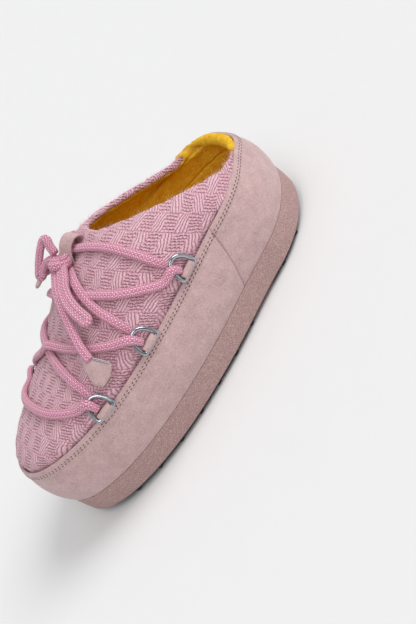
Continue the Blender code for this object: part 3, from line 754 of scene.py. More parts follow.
def cloth_place(points):
    """Place in the cloth, in millimetres, of points in the model."""
    rib = np.array([-math.cos(RIB_RISE), 0, math.sin(RIB_RISE)])
    out = np.array([math.sin(RIB_RISE), 0, math.cos(RIB_RISE)])
    s = np.linspace(SOLE_LENGTH, COLLAR_FRONT, 200)
    crown = to_model(np.stack([s, 0 * s, knit_height(s, 0 * s)], axis=-1))
    along = points @ rib
    drop = np.interp(along, crown @ rib, crown @ out) - points @ out
    across = np.where(points[..., 1] < 0, -1.0, 1.0) * np.sqrt(points[..., 1] ** 2 + drop**2)
    return np.stack([across, along], axis=-1) * 1000


SUEDE_DEPTH = SUEDE_THICKNESS + 0.0006
WALL_END = 0.98
# Heights of the skin between which the wall comes out from behind the suede
HEEL_TUCK = (1.20, 2.00)
SIDE_TUCK = (1.01, 1.16)
RIM_RADIUS = 0.0023
RIM_STEPS = 12


def upper_faces(turns, v):
    """Outer and inner face of the upper's wall, rows of v by turns."""
    turn, height = np.meshgrid(turns, v)
    share = knit_share(edge_at(turn)[..., 0])
    start = lerp(HEEL_TUCK[0], SIDE_TUCK[0], share)
    end = lerp(HEEL_TUCK[1], SIDE_TUCK[1], share)
    tuck = SUEDE_DEPTH * (1 - smoothstep((height - start) / (end - start)))
    outer = skin(turn, height) - tuck[..., None] * skin_normal(turn, np.minimum(height, WALL_END))
    return outer, outer - UPPER_WALL * skin_normal(turn, height)


def rim_roll(outer, inner):
    """Half round from the top of the outer face over the crest to the inner face."""
    middle = (outer[-1] + inner[-1]) / 2
    out = (outer[-1] - inner[-1]) / 2
    along = unit(outer[-1] - outer[-2])
    angles = np.linspace(0, math.pi, RIM_STEPS)[1:-1]
    return np.stack([middle + math.cos(a) * out + math.sin(a) * RIM_RADIUS * along for a in angles])


# Along the sole, the fleece's edge goes from behind the suede to the crest of the rim
FLEECE_FROM = 0.013
FLEECE_FULL = 0.027
FAR_FLEECE_FULL = 0.062
KNIT_ROWS = 150
KNIT_COLUMNS = 640
# The knit goes down behind the suede to the first height, and inside the collar to the second
KNIT_FOOT = 0.90
KNIT_INSIDE = 1.80
# Under the fleece the knit is sunk by this much, which begins at this distance from its inner edge
KNIT_SUNK = -0.0009
CREST_REACH = 0.020


def make_knit():
    """Knit field from under the suede's edge over the collar's rim and a little way down inside."""
    turns = even_turns(KNIT_COLUMNS, 1.35)
    v = np.concatenate([np.linspace(KNIT_FOOT, 1.0, 8), 1 + np.linspace(0, 1, 150)[1:]])
    outer, inner = upper_faces(turns, v)
    reach = int(np.searchsorted(v, KNIT_INSIDE))
    profile = to_model(np.concatenate([outer, rim_roll(outer, inner), inner[:reach:-1]]))
    points = resample(profile, KNIT_ROWS)
    points[:, -1] = points[:, 0]
    uv = cloth_place(points)
    s = edge_at(turns)[..., 0]
    # On the far side the fleece reaches further forward, over the rim alone
    far = 1 - smoothstep((s - FLEECE_FROM) / (FAR_FLEECE_FULL - FLEECE_FROM))
    behind = run_length(points[::-1])[::-1]
    over_crest = smoothstep((CREST_REACH - behind) / 0.003)
    covered = np.maximum(1 - knit_share(s), np.where(np.sin(turns) > 0, 0.0, far) * over_crest)
    relief = lerp(knit_relief(uv), KNIT_SUNK, covered)
    points = points + relief[..., None] * grid_normals(points)
    knit = lay_grid("knit_field", points, KNIT, uv, closed=True)
    return put_on(knit, "upper", slot="knit")


make_knit()


def lumps(points, size, seed):
    """Smooth random relief from -1 to 1, with lumps of about a size in metres."""
    random = np.random.default_rng(seed)
    total = np.zeros(points.shape[:-1])
    for _ in range(14):
        way = unit(random.normal(size=3)) * 2 * math.pi / (size * random.uniform(1.4, 2.6))
        total += np.sin(points @ way + random.uniform(0, 2 * math.pi))
    return np.clip(total / 5.0, -1, 1)


# Distance of the fleece's edge outside the crest, near side, far side and forward
NEAR_ROLL = 0.0032
FAR_ROLL = 0.0052
FORWARD_ROLL = 0.0008
# A dark seam runs round the inside at this height over the footbed, in the heel's half
INNER_SEAM = 0.0095
SEAM_END = -0.05


def make_fleece():
    """Fleece lining: over the rim round the heel, from just inside the rim along the sides."""
    turns = even_turns(420, 1.9)
    outer, inner = upper_faces(turns, 1 + np.linspace(0, 1, 40))
    roll = rim_roll(outer, inner)
    _, inside = upper_faces(turns, np.linspace(0.25, 2.0, 90)[::-1])
    profile = to_model(np.concatenate([outer, roll, inside]))
    lengths = np.linalg.norm(np.diff(profile, axis=0), axis=-1)
    over_rim = lengths[: len(outer) + len(roll)].sum(axis=0)
    heelward = edge_at(turns)[..., 0]
    near = np.sin(turns) > 0
    forward = smoothstep((heelward - 0.035) / 0.05)
    share = smoothstep((heelward - FLEECE_FROM) / (FLEECE_FULL - FLEECE_FROM))
    far_share = smoothstep((heelward - FLEECE_FROM) / (FAR_FLEECE_FULL - FLEECE_FROM))
    share = np.where(near, share, far_share)
    rolled = np.where(near, NEAR_ROLL, FAR_ROLL)
    start = lerp(0.0, over_rim - lerp(rolled, FORWARD_ROLL, forward), share)
    points = resample(profile, 90, start)
    points[:, -1] = points[:, 0]
    normals = grid_normals(points)
    length = run_length(points)
    puff = (1 - share) * np.exp(-(((length - 0.0050) / 0.0045) ** 2))
    seam = INSOLE_BOTTOM + INSOLE_THICKNESS + INNER_SEAM + spring(points[..., 0] + SOLE_LENGTH / 2)
    groove = np.exp(-(((points[..., 2] - seam) / 0.0007) ** 2)) * (points[..., 0] < SEAM_END)
    pile = lerp(-0.0012, 0.0013, smoothstep(length / 0.0022)) + 0.0015 * puff - 0.0016 * groove
    rough = 0.00032 * lumps(points, 0.0016, 3) + 0.0003 * lumps(points, 0.006, 4)
    points = points + (pile + rough)[..., None] * normals
    return put_on(lay_grid("fleece_lining", points, FLEECE, closed=True), slot="lining")


make_fleece()


def plan_ring(turns, height, out):
    """Ring at this distance outside the sole's outline. It rises at the toe and heel as the sole does."""
    plan = edge(turns, np.full_like(turns, out))
    return np.concatenate([plan, (height + spring(edge_at(turns)[:, 0]))[:, None]], axis=-1)


INSOLE_TOP = INSOLE_BOTTOM + INSOLE_THICKNESS
# Edge of the footbed from below: height, and inset from the sole's outline
FOOTBED_RINGS = (
    (INSOLE_BOTTOM, 0.0066), (INSOLE_BOTTOM + 0.0020, 0.0064), (INSOLE_TOP - 0.0010, 0.0068),
    (INSOLE_TOP - 0.0001, 0.0076), (INSOLE_TOP + 0.0003, 0.0090),
)
FOOTBED_CROWN = 0.0004


def make_footbed():
    """Fleece-covered footbed with a rounded edge."""
    turns = even_turns(300, 0.5)
    rings = [plan_ring(turns, height, -inset) for height, inset in FOOTBED_RINGS]
    last = rings[-1]
    for share in np.linspace(0, 1, 24)[1:]:
        ring = last.copy()
        ring[:, 1] = last[:, 1] * (1 - share)
        ring[:, 2] = last[:, 2] + FOOTBED_CROWN * math.sin(share * math.pi / 2)
        rings.append(ring)
    bed = lay_grid("footbed", to_model(np.stack(rings)), FLEECE, closed=True)
    return put_on(bed, "insole", slot="lining")


make_footbed()

# Fold along the suede's top edge, and the two rows of stitches in it
FOLD_WIDTH = 0.0046
FOLD_PROUD = 0.00070
STITCH_ROWS = (0.0025, 0.0040)
STITCH_LENGTH = 0.0019
STITCH_PITCH = 0.0031
STITCH_WIDTH = 0.00085
# The suede's foot and its cut ends turn in by these depths
FOOT_TURN_IN = 0.0005
END_TURN_IN = 0.0007


def turn_at(s):
    return np.arccos(2 * s / SOLE_LENGTH - 1)


def seam_turn(v, away):
    """Turn of the slanting seam between counter and rand at a height, moved along the sole."""
    return turn_at(lerp(COUNTER_SEAM_FOOT, COUNTER_SEAM_TOP, v) + away)


def suede_wall(name, first, last, columns, node):
    """Ribbon of suede between two slanting seams, folded over at its top edge."""
    v = np.concatenate([np.linspace(0, 0.9, 34), np.linspace(0.9, 1, 16)[1:]])
    share = np.linspace(0, 1, columns)
    turn = lerp(first(v)[:, None], last(v)[:, None], share[None, :])
    height = np.broadcast_to(v[:, None], turn.shape)
    wall = skin(turn, height)
    normal = skin_normal(turn, np.minimum(height, WALL_END))
    climb = run_length(wall)
    proud = FOLD_PROUD * smoothstep((FOLD_WIDTH - climb[-1] + climb) / 0.0007 + 0.5)
    proud = proud - FOOT_TURN_IN * (1 - smoothstep(climb / 0.0010))
    # Cut ends and seams turn in, which leaves a thin dark groove
    reach = run_length(wall, 1)
    from_end = np.minimum(reach, reach[:, -1:] - reach)
    proud = proud - END_TURN_IN * (1 - smoothstep(from_end / END_TURN_IN))
    face = wall + proud[..., None] * normal
    # Rounded top edge and a strip behind it
    radius = SUEDE_THICKNESS / 2
    up = unit(wall[-1] - wall[-2])
    crest = []
    for angle in np.linspace(0, math.pi, 9)[1:]:
        middle = face[-1] - radius * normal[-1]
        crest.append(middle + radius * (math.cos(angle) * normal[-1] + math.sin(angle) * up * 0.9))
    back = [crest[-1] - up * 0.0015, crest[-1] - up * 0.0030]
    points = to_model(np.concatenate([face, np.stack(crest), np.stack(back)]))
    piece = lay_grid(name, points, SUEDE)
    return put_on(piece, node, slot="suede")


# Half the width of the slanting seam, as a distance along the sole
SEAM_HALF = 0.0001


suede_wall("rand_suede", lambda v: -seam_turn(v, SEAM_HALF), lambda v: seam_turn(v, SEAM_HALF), 620, "rand")
suede_wall(
    "counter_suede",
    lambda v: seam_turn(v, -SEAM_HALF),
    lambda v: 2 * math.pi - seam_turn(v, -SEAM_HALF),
    330,
    "counter",
)


def make_stitches():
    """Two rows of stitches along the suede's top edge, each stitch sunk by half its width."""
    bpy.ops.object.select_all(action="DESELECT")
    bpy.ops.mesh.primitive_uv_sphere_add(segments=6, ring_count=4, radius=0.5)
    seed = bpy.context.object
    shape = np.array([vertex.co for vertex in seed.data.vertices])
    faces = [tuple(face.vertices) for face in seed.data.polygons]
    bpy.data.objects.remove(seed, do_unlink=True)
    corners = []
    sides = []
    for row, drop in enumerate(STITCH_ROWS):
        fine = np.linspace(-math.pi, math.pi, 4001)
        high = skin(fine, np.full_like(fine, 1.0))
        low = skin(fine, np.full_like(fine, 0.8))
        down = low - high
        place = high + down * (drop / np.linalg.norm(down, axis=-1))[:, None]
        length = run_length(place)
        count = int(length[-1] / STITCH_PITCH)
        at = (np.arange(count) + 0.5 * row) * length[-1] / count
        turns = np.interp(at, length, fine)
        spots = np.stack([np.interp(at, length, place[:, k]) for k in range(3)], axis=-1)
        normals = skin_normal(turns, np.full_like(turns, 0.95))
        ahead = np.stack([np.interp(at + 0.001, length, place[:, k]) for k in range(3)], axis=-1)
        along = unit(ahead - spots)
        side = unit(np.cross(normals, along))
        for spot, n, a, w in zip(spots, normals, along, side):
            local = shape[:, :1] * a * STITCH_LENGTH + shape[:, 1:2] * w * STITCH_WIDTH
            local = local + shape[:, 2:] * n * STITCH_WIDTH * 0.8
            start = len(corners) * len(shape)
            corners.append(spot + n * (FOLD_PROUD + 0.00003) + local)
            sides += [tuple(start + i for i in face) for face in faces]
    piece = lay_mesh("edge_stitches", to_model(np.concatenate(corners)), sides, THREAD)
    pick(piece)
    bpy.ops.object.shade_smooth()
    return put_on(piece, slot="suede")


make_stitches()


# Rounding of the band's lower and upper edge
BAND_FOOT_ROUND = 0.0015
BAND_TOP_ROUND = 0.0006
BAND_CREST = BAND_TOP - 0.0005
# Ceiling of the pocket over the outsole: its height and its inset
CEILING_HEIGHT = 0.0062
CEILING_INSET = 0.0024


def make_band():
    """Foam band round the sole, with rounded edges, and the pocket's ceiling that shows at the waist."""
    turns = even_turns(560, 0.0)
    places = [(0.0063, -0.0027), (BAND_BOTTOM + 0.0004, -0.0027), (BAND_BOTTOM, -0.0023)]
    for angle in np.linspace(0, math.pi / 2, 6):
        climb = BAND_FOOT_ROUND * (1 - math.cos(angle))
        places.append((BAND_BOTTOM + climb, -BAND_FOOT_ROUND * (1 - math.sin(angle))))
    for share in np.linspace(0, 1, 14)[1:]:
        out = BAND_PROUD * share + 0.0003 * math.sin(math.pi * share)
        places.append((lerp(BAND_BOTTOM + BAND_FOOT_ROUND, BAND_CREST, share), out))
    for angle in np.linspace(0, math.pi / 2, 6)[1:]:
        out = BAND_PROUD - BAND_TOP_ROUND * (1 - math.cos(angle))
        places.append((BAND_CREST + BAND_TOP_ROUND * math.sin(angle), out))
    places.append((BAND_TOP + 0.0001, -0.0030))
    rings = [plan_ring(turns, height, out) for height, out in places]
    band = lay_grid("foam_band", to_model(np.stack(rings)), BAND, closed=True)
    s = np.linspace(0.006, SOLE_LENGTH - 0.006, 120)
    share = np.linspace(-1, 1, 24)
    wide = (half_width(s) - CEILING_INSET)[None, :] * share[:, None]
    height = np.broadcast_to(CEILING_HEIGHT + spring(s), wide.shape)
    flat = np.stack([np.broadcast_to(s, wide.shape), wide, height], axis=-1)
    ceiling = lay_grid("pocket_ceiling", to_model(flat[::-1]), BAND)
    return put_on(join("foam_band", [band, ceiling]), "midsole", slot="crepe")


make_band()


# Two lengthwise channels on each face of a braided cord, as cosines of the angle round it
CHANNEL_PLACE = 0.34
CHANNEL_WIDTH = 0.10


def sweep(name, path, wide, width, thick, material, power=2.4, sides=20, closed=False, groove=0.0):
    """Cord or strap along a path. wide is the way of its width, and power 2 is an oval, more is squarer."""
    path = np.asarray(path, float)
    width = np.broadcast_to(np.asarray(width, float), (len(path),))
    thick = np.broadcast_to(np.asarray(thick, float), (len(path),))
    if closed:
        tangent = unit(np.roll(path, -1, axis=0) - np.roll(path, 1, axis=0))
    else:
        tangent = unit(np.gradient(path, axis=0))
    wide = np.asarray(wide, float)
    wide = unit(wide - tangent * np.sum(wide * tangent, axis=-1, keepdims=True))
    out = np.cross(tangent, wide)
    angle = np.linspace(0, 2 * math.pi, sides + 1)
    c = np.cos(angle)
    d = np.sin(angle)
    x = np.sign(c) * np.abs(c) ** (2 / power)
    y = np.sign(d) * np.abs(d) ** (2 / power)
    channels = [np.exp(-(((c - place) / CHANNEL_WIDTH) ** 2)) for place in (CHANNEL_PLACE, -CHANNEL_PLACE)]
    dent = 1 - groove * sum(channels)
    ring = x[None, :, None] * wide[:, None, :] * (width / 2)[:, None, None]
    ring = ring + (y * dent)[None, :, None] * out[:, None, :] * (thick / 2)[:, None, None]
    points = path[:, None, :] + ring
    length = run_length(path)
    girth = np.linspace(0, math.pi * (width.mean() + thick.mean()) / 2, sides + 1)
    if closed:
        points = np.concatenate([points, points[:1]])
        length = np.append(length, length[-1] + np.linalg.norm(path[0] - path[-1]))
    else:
        first = path[:1, None, :] + 0 * points[:1]
        last = path[-1:, None, :] + 0 * points[-1:]
        near_first = path[:1, None, :] + 0.8 * ring[:1] - tangent[0] * thick[0] * 0.18
        near_last = path[-1:, None, :] + 0.8 * ring[-1:] + tangent[-1] * thick[-1] * 0.18
        first = first - tangent[0] * thick[0] * 0.3
        last = last + tangent[-1] * thick[-1] * 0.3
        points = np.concatenate([first, near_first, points, near_last, last])
        length = np.concatenate([[length[0]] * 2, length, [length[-1]] * 2])
    uv = np.stack(np.meshgrid(girth, length), axis=-1) * 1000
    return lay_grid(name, points[:, ::-1], material, uv[:, ::-1])


def smooth_path(points, count):
    """Even steps of a smooth curve through points."""
    points = np.asarray(points, float)
    knots = run_length(points)
    slopes = np.gradient(points, knots, axis=0)
    fine = np.linspace(0, knots[-1], 400)
    i = np.clip(np.searchsorted(knots, fine, side="right") - 1, 0, len(knots) - 2)
    width = (knots[i + 1] - knots[i])[:, None]
    t = ((fine - knots[i])[:, None]) / width
    curve = (1 + 2 * t) * (1 - t) ** 2 * points[i] + t * (1 - t) ** 2 * width * slopes[i]
    curve = curve + t * t * (3 - 2 * t) * points[i + 1] - t * t * (1 - t) * width * slopes[i + 1]
    steps = run_length(curve)
    places = np.linspace(0, steps[-1], count)
    return np.stack([np.interp(places, steps, curve[:, k]) for k in range(3)], axis=-1)


def ring_frame(s, side):
    """Middle of a ring's bar, the way along it and the way up the knit, on one side of the shoe."""
    swing = 0.0
    while knit_at(s, swing, TAB_ROUND / 2 + GAP)[2] < seam_height(s) + TAB_ROUND / 2 + GAP:
        swing += 0.25
    bar = knit_at(s, swing, TAB_ROUND / 2 + GAP)
    along = unit(knit_at(s + 0.002, swing, TAB_ROUND / 2) - knit_at(s - 0.002, swing, TAB_ROUND / 2))
    lean = -10.0
    for end in (-1, 0, 1):
        base = bar + along * end * RING_WIDTH / 2
        for height in (0.4, 0.6, 0.8, 1.0):
            while knit_at(base[0], swing, RING_WIRE / 2)[2] < base[2] + height * RING_DEPTH and swing < 90:
                swing += 0.5
            rest = knit_at(base[0], swing, RING_WIRE / 2 + RING_CLEARANCE)
            lean = max(lean, (rest[1] - base[1]) / (rest[2] - base[2]))
            swing = swing if height < 1.0 else 0.0
    up = np.array([0, lean, 1])
    up = unit(up - along * np.dot(up, along))
    mirror = np.array([1, side, 1])
    return bar * mirror, along * mirror, up * mirror


RING_FRAMES = {
    (number, side): ring_frame(s, side) for number, s in enumerate(RING_PLACES) for side in (1, -1)
}


def ring_out(number, side):
    """Way out from the knit, square to a ring."""
    _, along, up = RING_FRAMES[number, side]
    out = unit(np.cross(along, up))
    return out * np.sign(out[1] * side)


# The bar lies this much lower than the middle of the strap, so that the legs run straight into the suede
RING_SINK = 0.0016
# Its wire is a little flattened, with the wide face outwards
RING_FACE = 0.0027


def make_ring(number, side, word):
    """Polished D-ring: an arc, a straight bar and rounded corners between them."""
    bar, along, up = RING_FRAMES[number, side]
    half = (RING_WIDTH - RING_WIRE) / 2
    depth = RING_DEPTH - RING_WIRE
    angle = np.linspace(0, math.pi, 41)
    x = np.concatenate([half * np.cos(angle), np.linspace(-half, half, 15)[1:-1]])
    z = np.concatenate([depth * np.sin(angle) ** RING_SHOULDER, np.zeros(13)])
    z = z - RING_SINK * (1 - z / depth)
    for _ in range(2):
        x = (np.roll(x, 1) + 2 * x + np.roll(x, -1)) / 4
        z = (np.roll(z, 1) + 2 * z + np.roll(z, -1)) / 4
    path = to_model(bar + x[:, None] * along + z[:, None] * up)
    wide = np.broadcast_to(ring_out(number, side), path.shape)
    name = f"d_ring_{word}_{number + 1}"
    ring = sweep(name + "_wire", path, wide, RING_WIRE, RING_FACE, STEEL, 2.4, 14, closed=True)
    return put_on(ring, name, slot="steel")


TAB_STRAP = 0.0118
TAB_THICK = 0.0015


def make_tab(number, side, word):
    """Suede strap folded round a ring's bar, its ends under the suede's edge."""
    bar, along, up = RING_FRAMES[number, side]
    out = ring_out(number, side)
    turn = RING_WIRE / 2 + TAB_THICK / 2 + 0.0001
    angle = np.linspace(-0.5, math.pi - 0.1, 13)
    fold = [(turn * math.cos(a), turn * math.sin(a)) for a in angle]
    front = [(-0.0055, -0.0090), (-0.0050, -0.0062), (-0.0036, -0.0040), (-0.0010, -0.0024)]
    rear = [(-0.0030, -0.0012), (-0.0050, -0.0034), (-0.0062, -0.0060)]
    route = smooth_path([(x, z, 0) for x, z in front + fold + rear], 40)
    path = to_model(bar + route[:, :1] * out + route[:, 1:2] * up)
    wide = np.broadcast_to(along, path.shape)
    tab = sweep(f"tab_{word}_{number + 1}", path, wide, TAB_STRAP, TAB_THICK, SUEDE, 5.0, 24)
    return put_on(tab, f"ring_tab_{word}_{number + 1}", slot="suede")


for number in range(len(RING_PLACES)):
    for side, word in ((1, "left"), (-1, "right")):
        make_ring(number, side, word)
        make_tab(number, side, word)

# Laces: oval braided cord. Columns: distance from the heel end and swing over the knit, near ring to far ring
LACE_THICK = 0.0042
LACE_FLAT = 0.0066
LACE_REST = 0.0026
TOP_BAR = ((0.1097, 16.5), (0.1115, 27), (0.1139, 42), (0.1170, 58), (0.1215, 73), (0.1262, 90))
TOE_BAR = ((0.2105, 24), (0.2196, 32), (0.2279, 49), (0.2325, 70), (0.2335, 90))
UPPER_UNDER = (
    (0.1101, 10), (0.1185, 13.4), (0.1317, 25.8), (0.1419, 40.2), (0.1497, 58.2),
    (0.1568, 84), (0.1590, 105), (0.1585, 130), (0.1580, 150), (0.1580, 163),
)
UPPER_OVER = (
    (0.1574, 20.1), (0.1572, 33.4), (0.1562, 49.4), (0.1532, 60), (0.1478, 70),
    (0.1420, 82), (0.1370, 97), (0.1320, 115), (0.1262, 134), (0.1190, 152), (0.1110, 168),
)
LOWER_OVER = (
    (0.1616, 12.6), (0.1654, 18.6), (0.1726, 31.7), (0.1798, 46.6), (0.1858, 65.1),
    (0.1916, 89.9), (0.2001, 114), (0.2045, 130), (0.2075, 143), (0.2095, 157),
)
LOWER_UNDER = (
    (0.2087, 24), (0.2072, 37.5), (0.2045, 53.7), (0.2008, 73.7), (0.1955, 91.2),
    (0.1885, 112), (0.1805, 132), (0.1730, 147), (0.1660, 160), (0.1620, 167),
)


# At each ring, how far toewards of its middle the strand under its arc and the strand over it pass
RING_SHIFTS = ((0.0042, 0.0060), (-0.0008, 0.0040), (-0.0016, 0.0032))


def ring_pass(number, side, over):
    """Points of a strand at a ring: inside it, and where it crosses the arc, over it or under it."""
    bar, along, up = RING_FRAMES[number, side]
    out = ring_out(number, side)
    toeward = along * np.sign(along[0])
    shift = RING_SHIFTS[number][1 if over else 0]
    climb = RING_DEPTH * (1 - (shift / (RING_WIDTH / 2)) ** 2) ** 0.42
    if over:
        inside = bar + up * RING_DEPTH * 0.30 + out * 0.0006 + toeward * shift * 0.45
        arc = bar + up * climb * 0.84 + out * 0.0032 + toeward * shift
    else:
        inside = bar + up * RING_DEPTH * 0.52 - out * 0.0026 + toeward * shift * 0.7
        arc = bar + up * climb * 0.96 - out * 0.0030 + toeward * shift
    return inside, arc


def across_way(path):
    """Way of a lace's width along its path: square to the path, and level with the foot's skin."""
    outward = path - np.array([0, 0, 0.03])
    outward[:, 0] = 0.25 * (path[:, 0] - 0.15)
    return np.cross(unit(np.gradient(path, axis=0)), unit(outward))


STRAND_STEPS = 150
STRAND_PINCH = 0.80
# A strand's own points start this far from where it crosses a ring's arc
STRAND_CLEAR = 0.0075


def make_strand(name, table, ends, nodes, hump=None):
    """Strand over the knit between two rings. ends gives ring, side and over or under at each end."""
    inside, arc = ring_pass(*ends[0])
    far_inside, far_arc = ring_pass(*ends[1])
    route = [knit_at(s, swing, LACE_REST) for s, swing in table]
    keep = [p for p in route if min(np.linalg.norm(p - arc), np.linalg.norm(p - far_arc)) > STRAND_CLEAR]
    path = smooth_path([inside, arc] + keep + [far_arc, far_inside], STRAND_STEPS)
    if hump is not None:
        spot, height, reach = hump
        near = np.exp(-((np.linalg.norm(path[:, :2] - np.array(spot), axis=-1) / reach) ** 2))
        path[:, 2] += height * near
    from_end = np.minimum(np.arange(STRAND_STEPS), STRAND_STEPS - 1 - np.arange(STRAND_STEPS))
    pinch = lerp(STRAND_PINCH, 1.0, smoothstep(from_end / 10))
    width = LACE_FLAT * pinch
    thick = LACE_THICK * pinch
    strand = sweep(name, to_model(path), across_way(path), width, thick, LACE, 2.5, 24, groove=0.07)
    return put_on(strand, *nodes, slot="lace")


def both(table):
    return table + tuple((s, 180 - swing) for s, swing in table[-2::-1])


make_strand("lace_toe_strand", both(TOE_BAR), ((2, 1, True), (2, -1, True)), ["lace_toe_bar"])
make_strand("lace_top_strand", both(TOP_BAR), ((0, 1, False), (0, -1, False)), ["lace_top_bar"])
make_strand("lace_lower_under", LOWER_UNDER, ((2, 1, False), (1, -1, True)), ["lace_lower_cross"])
make_strand(
    "lace_lower_over", LOWER_OVER, ((1, 1, True), (2, -1, False)), ["lace_lower_cross"],
    ((0.1935, 0.0), 0.0042, 0.012),
)
make_strand("lace_upper_under", UPPER_UNDER, ((0, 1, True), (1, -1, False)), ["lace_upper_cross"])
make_strand(
    "lace_upper_over", UPPER_OVER, ((1, 1, False), (0, -1, True)), ["lace_upper_cross"],
    ((0.1540, 0.020), 0.0040, 0.012),
)

# Bow: the routes of the model, with each end begun under the pull loop
PULL_EXIT = (0.1285, 0.0015, 0.1215)
NEAR_END_ROUTE = (
    PULL_EXIT, (0.1370, 0.0025, 0.1228), (0.1475, 0.0030, 0.1232), (0.1530, 0.0085, 0.1222),
    (0.1602, 0.0158, 0.1197), (0.1677, 0.0245, 0.1138), (0.1747, 0.0335, 0.1072),
    (0.1800, 0.0405, 0.1023), (0.1845, 0.0470, 0.0970), (0.1872, 0.0522, 0.0920),
)
FAR_EXIT = (0.1225, -0.0040, 0.1208)
FAR_END_ROUTE = (
    FAR_EXIT, (0.1300, -0.0030, 0.1228), (0.1360, -0.0045, 0.1222), (0.1415, -0.0086, 0.1196),
    (0.1448, -0.0140, 0.1192), (0.1505, -0.0232, 0.1192),
)
FAR_LOOP_ROUTE = (
    (0.1361, -0.0060, 0.1271), (0.1336, -0.0090, 0.1317), (0.1309, -0.0118, 0.1352),
    (0.1320, -0.0142, 0.1358),
    (0.1370, -0.0158, 0.1340), (0.1431, -0.0170, 0.1308), (0.1500, -0.0176, 0.1266),
    (0.1542, -0.0172, 0.1232),
    (0.1540, -0.0160, 0.1222), (0.1498, -0.0150, 0.1240), (0.1448, -0.0130, 0.1258),
    (0.1416, -0.0100, 0.1255),
    (0.1392, -0.0050, 0.1240),
)
NEAR_LOOP_ROUTE = (
    (0.1430, 0.0080, 0.1232), (0.1500, 0.0160, 0.1212), (0.1562, 0.0218, 0.1192), (0.1607, 0.0285, 0.1162),
    (0.1642, 0.0370, 0.1114), (0.1662, 0.0455, 0.1056),
)
KNOT = (0.1395, 0.0020, 0.1235)
NEAR_TIP = ((0.1876, 0.0466, 0.0957), (0.1821, 0.0625, 0.0824), (0.1984, 0.0583, 0.0803))
FAR_TIP = ((0.1430, -0.0285, 0.1203), (0.1560, -0.0175, 0.1208), (0.1595, -0.0400, 0.1124))


def make_cord(name, route, nodes, count=80, width=LACE_WIDTH, thick=LACE_THICK):
    """Free piece of the lace with its real length."""
    path = smooth_path(route, count)
    line = to_model(path)
    cord = sweep(name, line, across_way(path), width, thick, LACE, 2.5, 24, groove=0.07)
    put_on(cord, *nodes, slot="lace")
    return cord


TIP_THICK = 0.0030
# Rings of a tip, front to back: how far out they reach to the rim, and height as a share of its thickness
TIP_RINGS = (
    (0.0, 0.55), (0.45, 0.53), (0.75, 0.48), (0.88, 0.40), (0.96, 0.26), (1.0, 0.0),
    (0.96, -0.26), (0.88, -0.40), (0.5, -0.48), (0.0, -0.5),
)
CLIP_WIDTH = 0.0037
CLIP_THICK = 0.0012


def make_tip(name, corners, node):
    """Suede tip: a folded tab sewn shut, wide at the top and drawn to a blunt point, with a metal clip."""
    first, second, point = [np.array(corner) for corner in corners]
    across = second - first
    normal = unit(np.cross(across, point - first))
    normal = normal * np.sign(normal[2])
    down = point - (first + second) / 2
    waist = (first + second) / 2 + down * 0.55
    outline = np.array([
        first - across * 0.04 - down * 0.06, second + across * 0.04 - down * 0.06,
        waist + across * 0.44, point + across * 0.17 + down * 0.04,
        point - across * 0.17 + down * 0.04, waist - across * 0.44,
    ])
    sides = []
    for k in range(6):
        for share in np.linspace(0, 1, 13)[:-1]:
            sides.append(lerp(outline[k], outline[(k + 1) % 6], share))
    rim = np.array(sides)
    for _ in range(5):
        rim = (np.roll(rim, 1, axis=0) + 2 * rim + np.roll(rim, -1, axis=0)) / 4
    rim = np.concatenate([rim, rim[:1]])
    middle = rim[:-1].mean(axis=0)
    rings = [middle + (rim - middle) * reach + normal * TIP_THICK * height for reach, height in TIP_RINGS]
    points = to_model(np.stack(rings))
    tip = lay_grid(name, points[::-1], SUEDE)
    pick(tip)
    bpy.ops.object.mode_set(mode="EDIT")
    bpy.ops.mesh.select_all(action="SELECT")
    bpy.ops.mesh.normals_make_consistent(inside=False)
    bpy.ops.object.mode_set(mode="OBJECT")
    top = np.stack([lerp(first, second, share) for share in np.linspace(0.03, 0.97, 24)])
    inwards = unit(point - (first + second) / 2)
    clip_line = to_model(top + inwards * 0.0002)
    upright = np.broadcast_to(normal, clip_line.shape)
    clip = sweep(name + "_clip", clip_line, upright, CLIP_WIDTH, CLIP_THICK, STEEL, 4.0, 16)
    put_on(clip, slot="steel")
    return put_on(tip, node, slot="suede"), clip


near_tip, near_clip = make_tip("tip_near", NEAR_TIP, "lace_tip_near")
far_tip, far_clip = make_tip("tip_far", FAR_TIP, "lace_tip_far")


KNOT_WRAPS = 1.55
KNOT_STEPS = 64
# From the model's knot to the middle of the wraps, and their reach along the shoe, across it and up
KNOT_MOVE = np.array([0.0010, 0.0022, 0.0002])
KNOT_REACH = (0.0042, 0.0056, 0.0044)
KNOT_SLIDE = (-0.0022, 0.0026)


def make_knot():
    """Wraps of the bow's knot round the crossing of its loops and ends."""
    share = np.linspace(0, 1, KNOT_STEPS)
    angle = 2 * math.pi * KNOT_WRAPS * share + 0.6
    lean, side, rise = KNOT_REACH
    centre = np.array(KNOT) + KNOT_MOVE
    along = lerp(KNOT_SLIDE[0], KNOT_SLIDE[1], share) + lean * np.sin(angle)
    path = centre + np.stack([along, side * np.cos(angle), rise * np.sin(angle)], axis=-1)
    wide = np.cross(unit(np.gradient(path, axis=0)), unit(path - centre))
    width = LACE_WIDTH * 0.95
    thick = LACE_THICK * 0.85
    wrap = sweep("knot_wrap", to_model(path), wide, width, thick, LACE, 2.3, 24, groove=0.10)
    return put_on(wrap, "lace_knot", slot="lace")


knot = make_knot()
make_cord("bow_end_near", NEAR_END_ROUTE, ["lace_end_near"])
make_cord("bow_end_far", FAR_END_ROUTE, ["lace_end_far"])


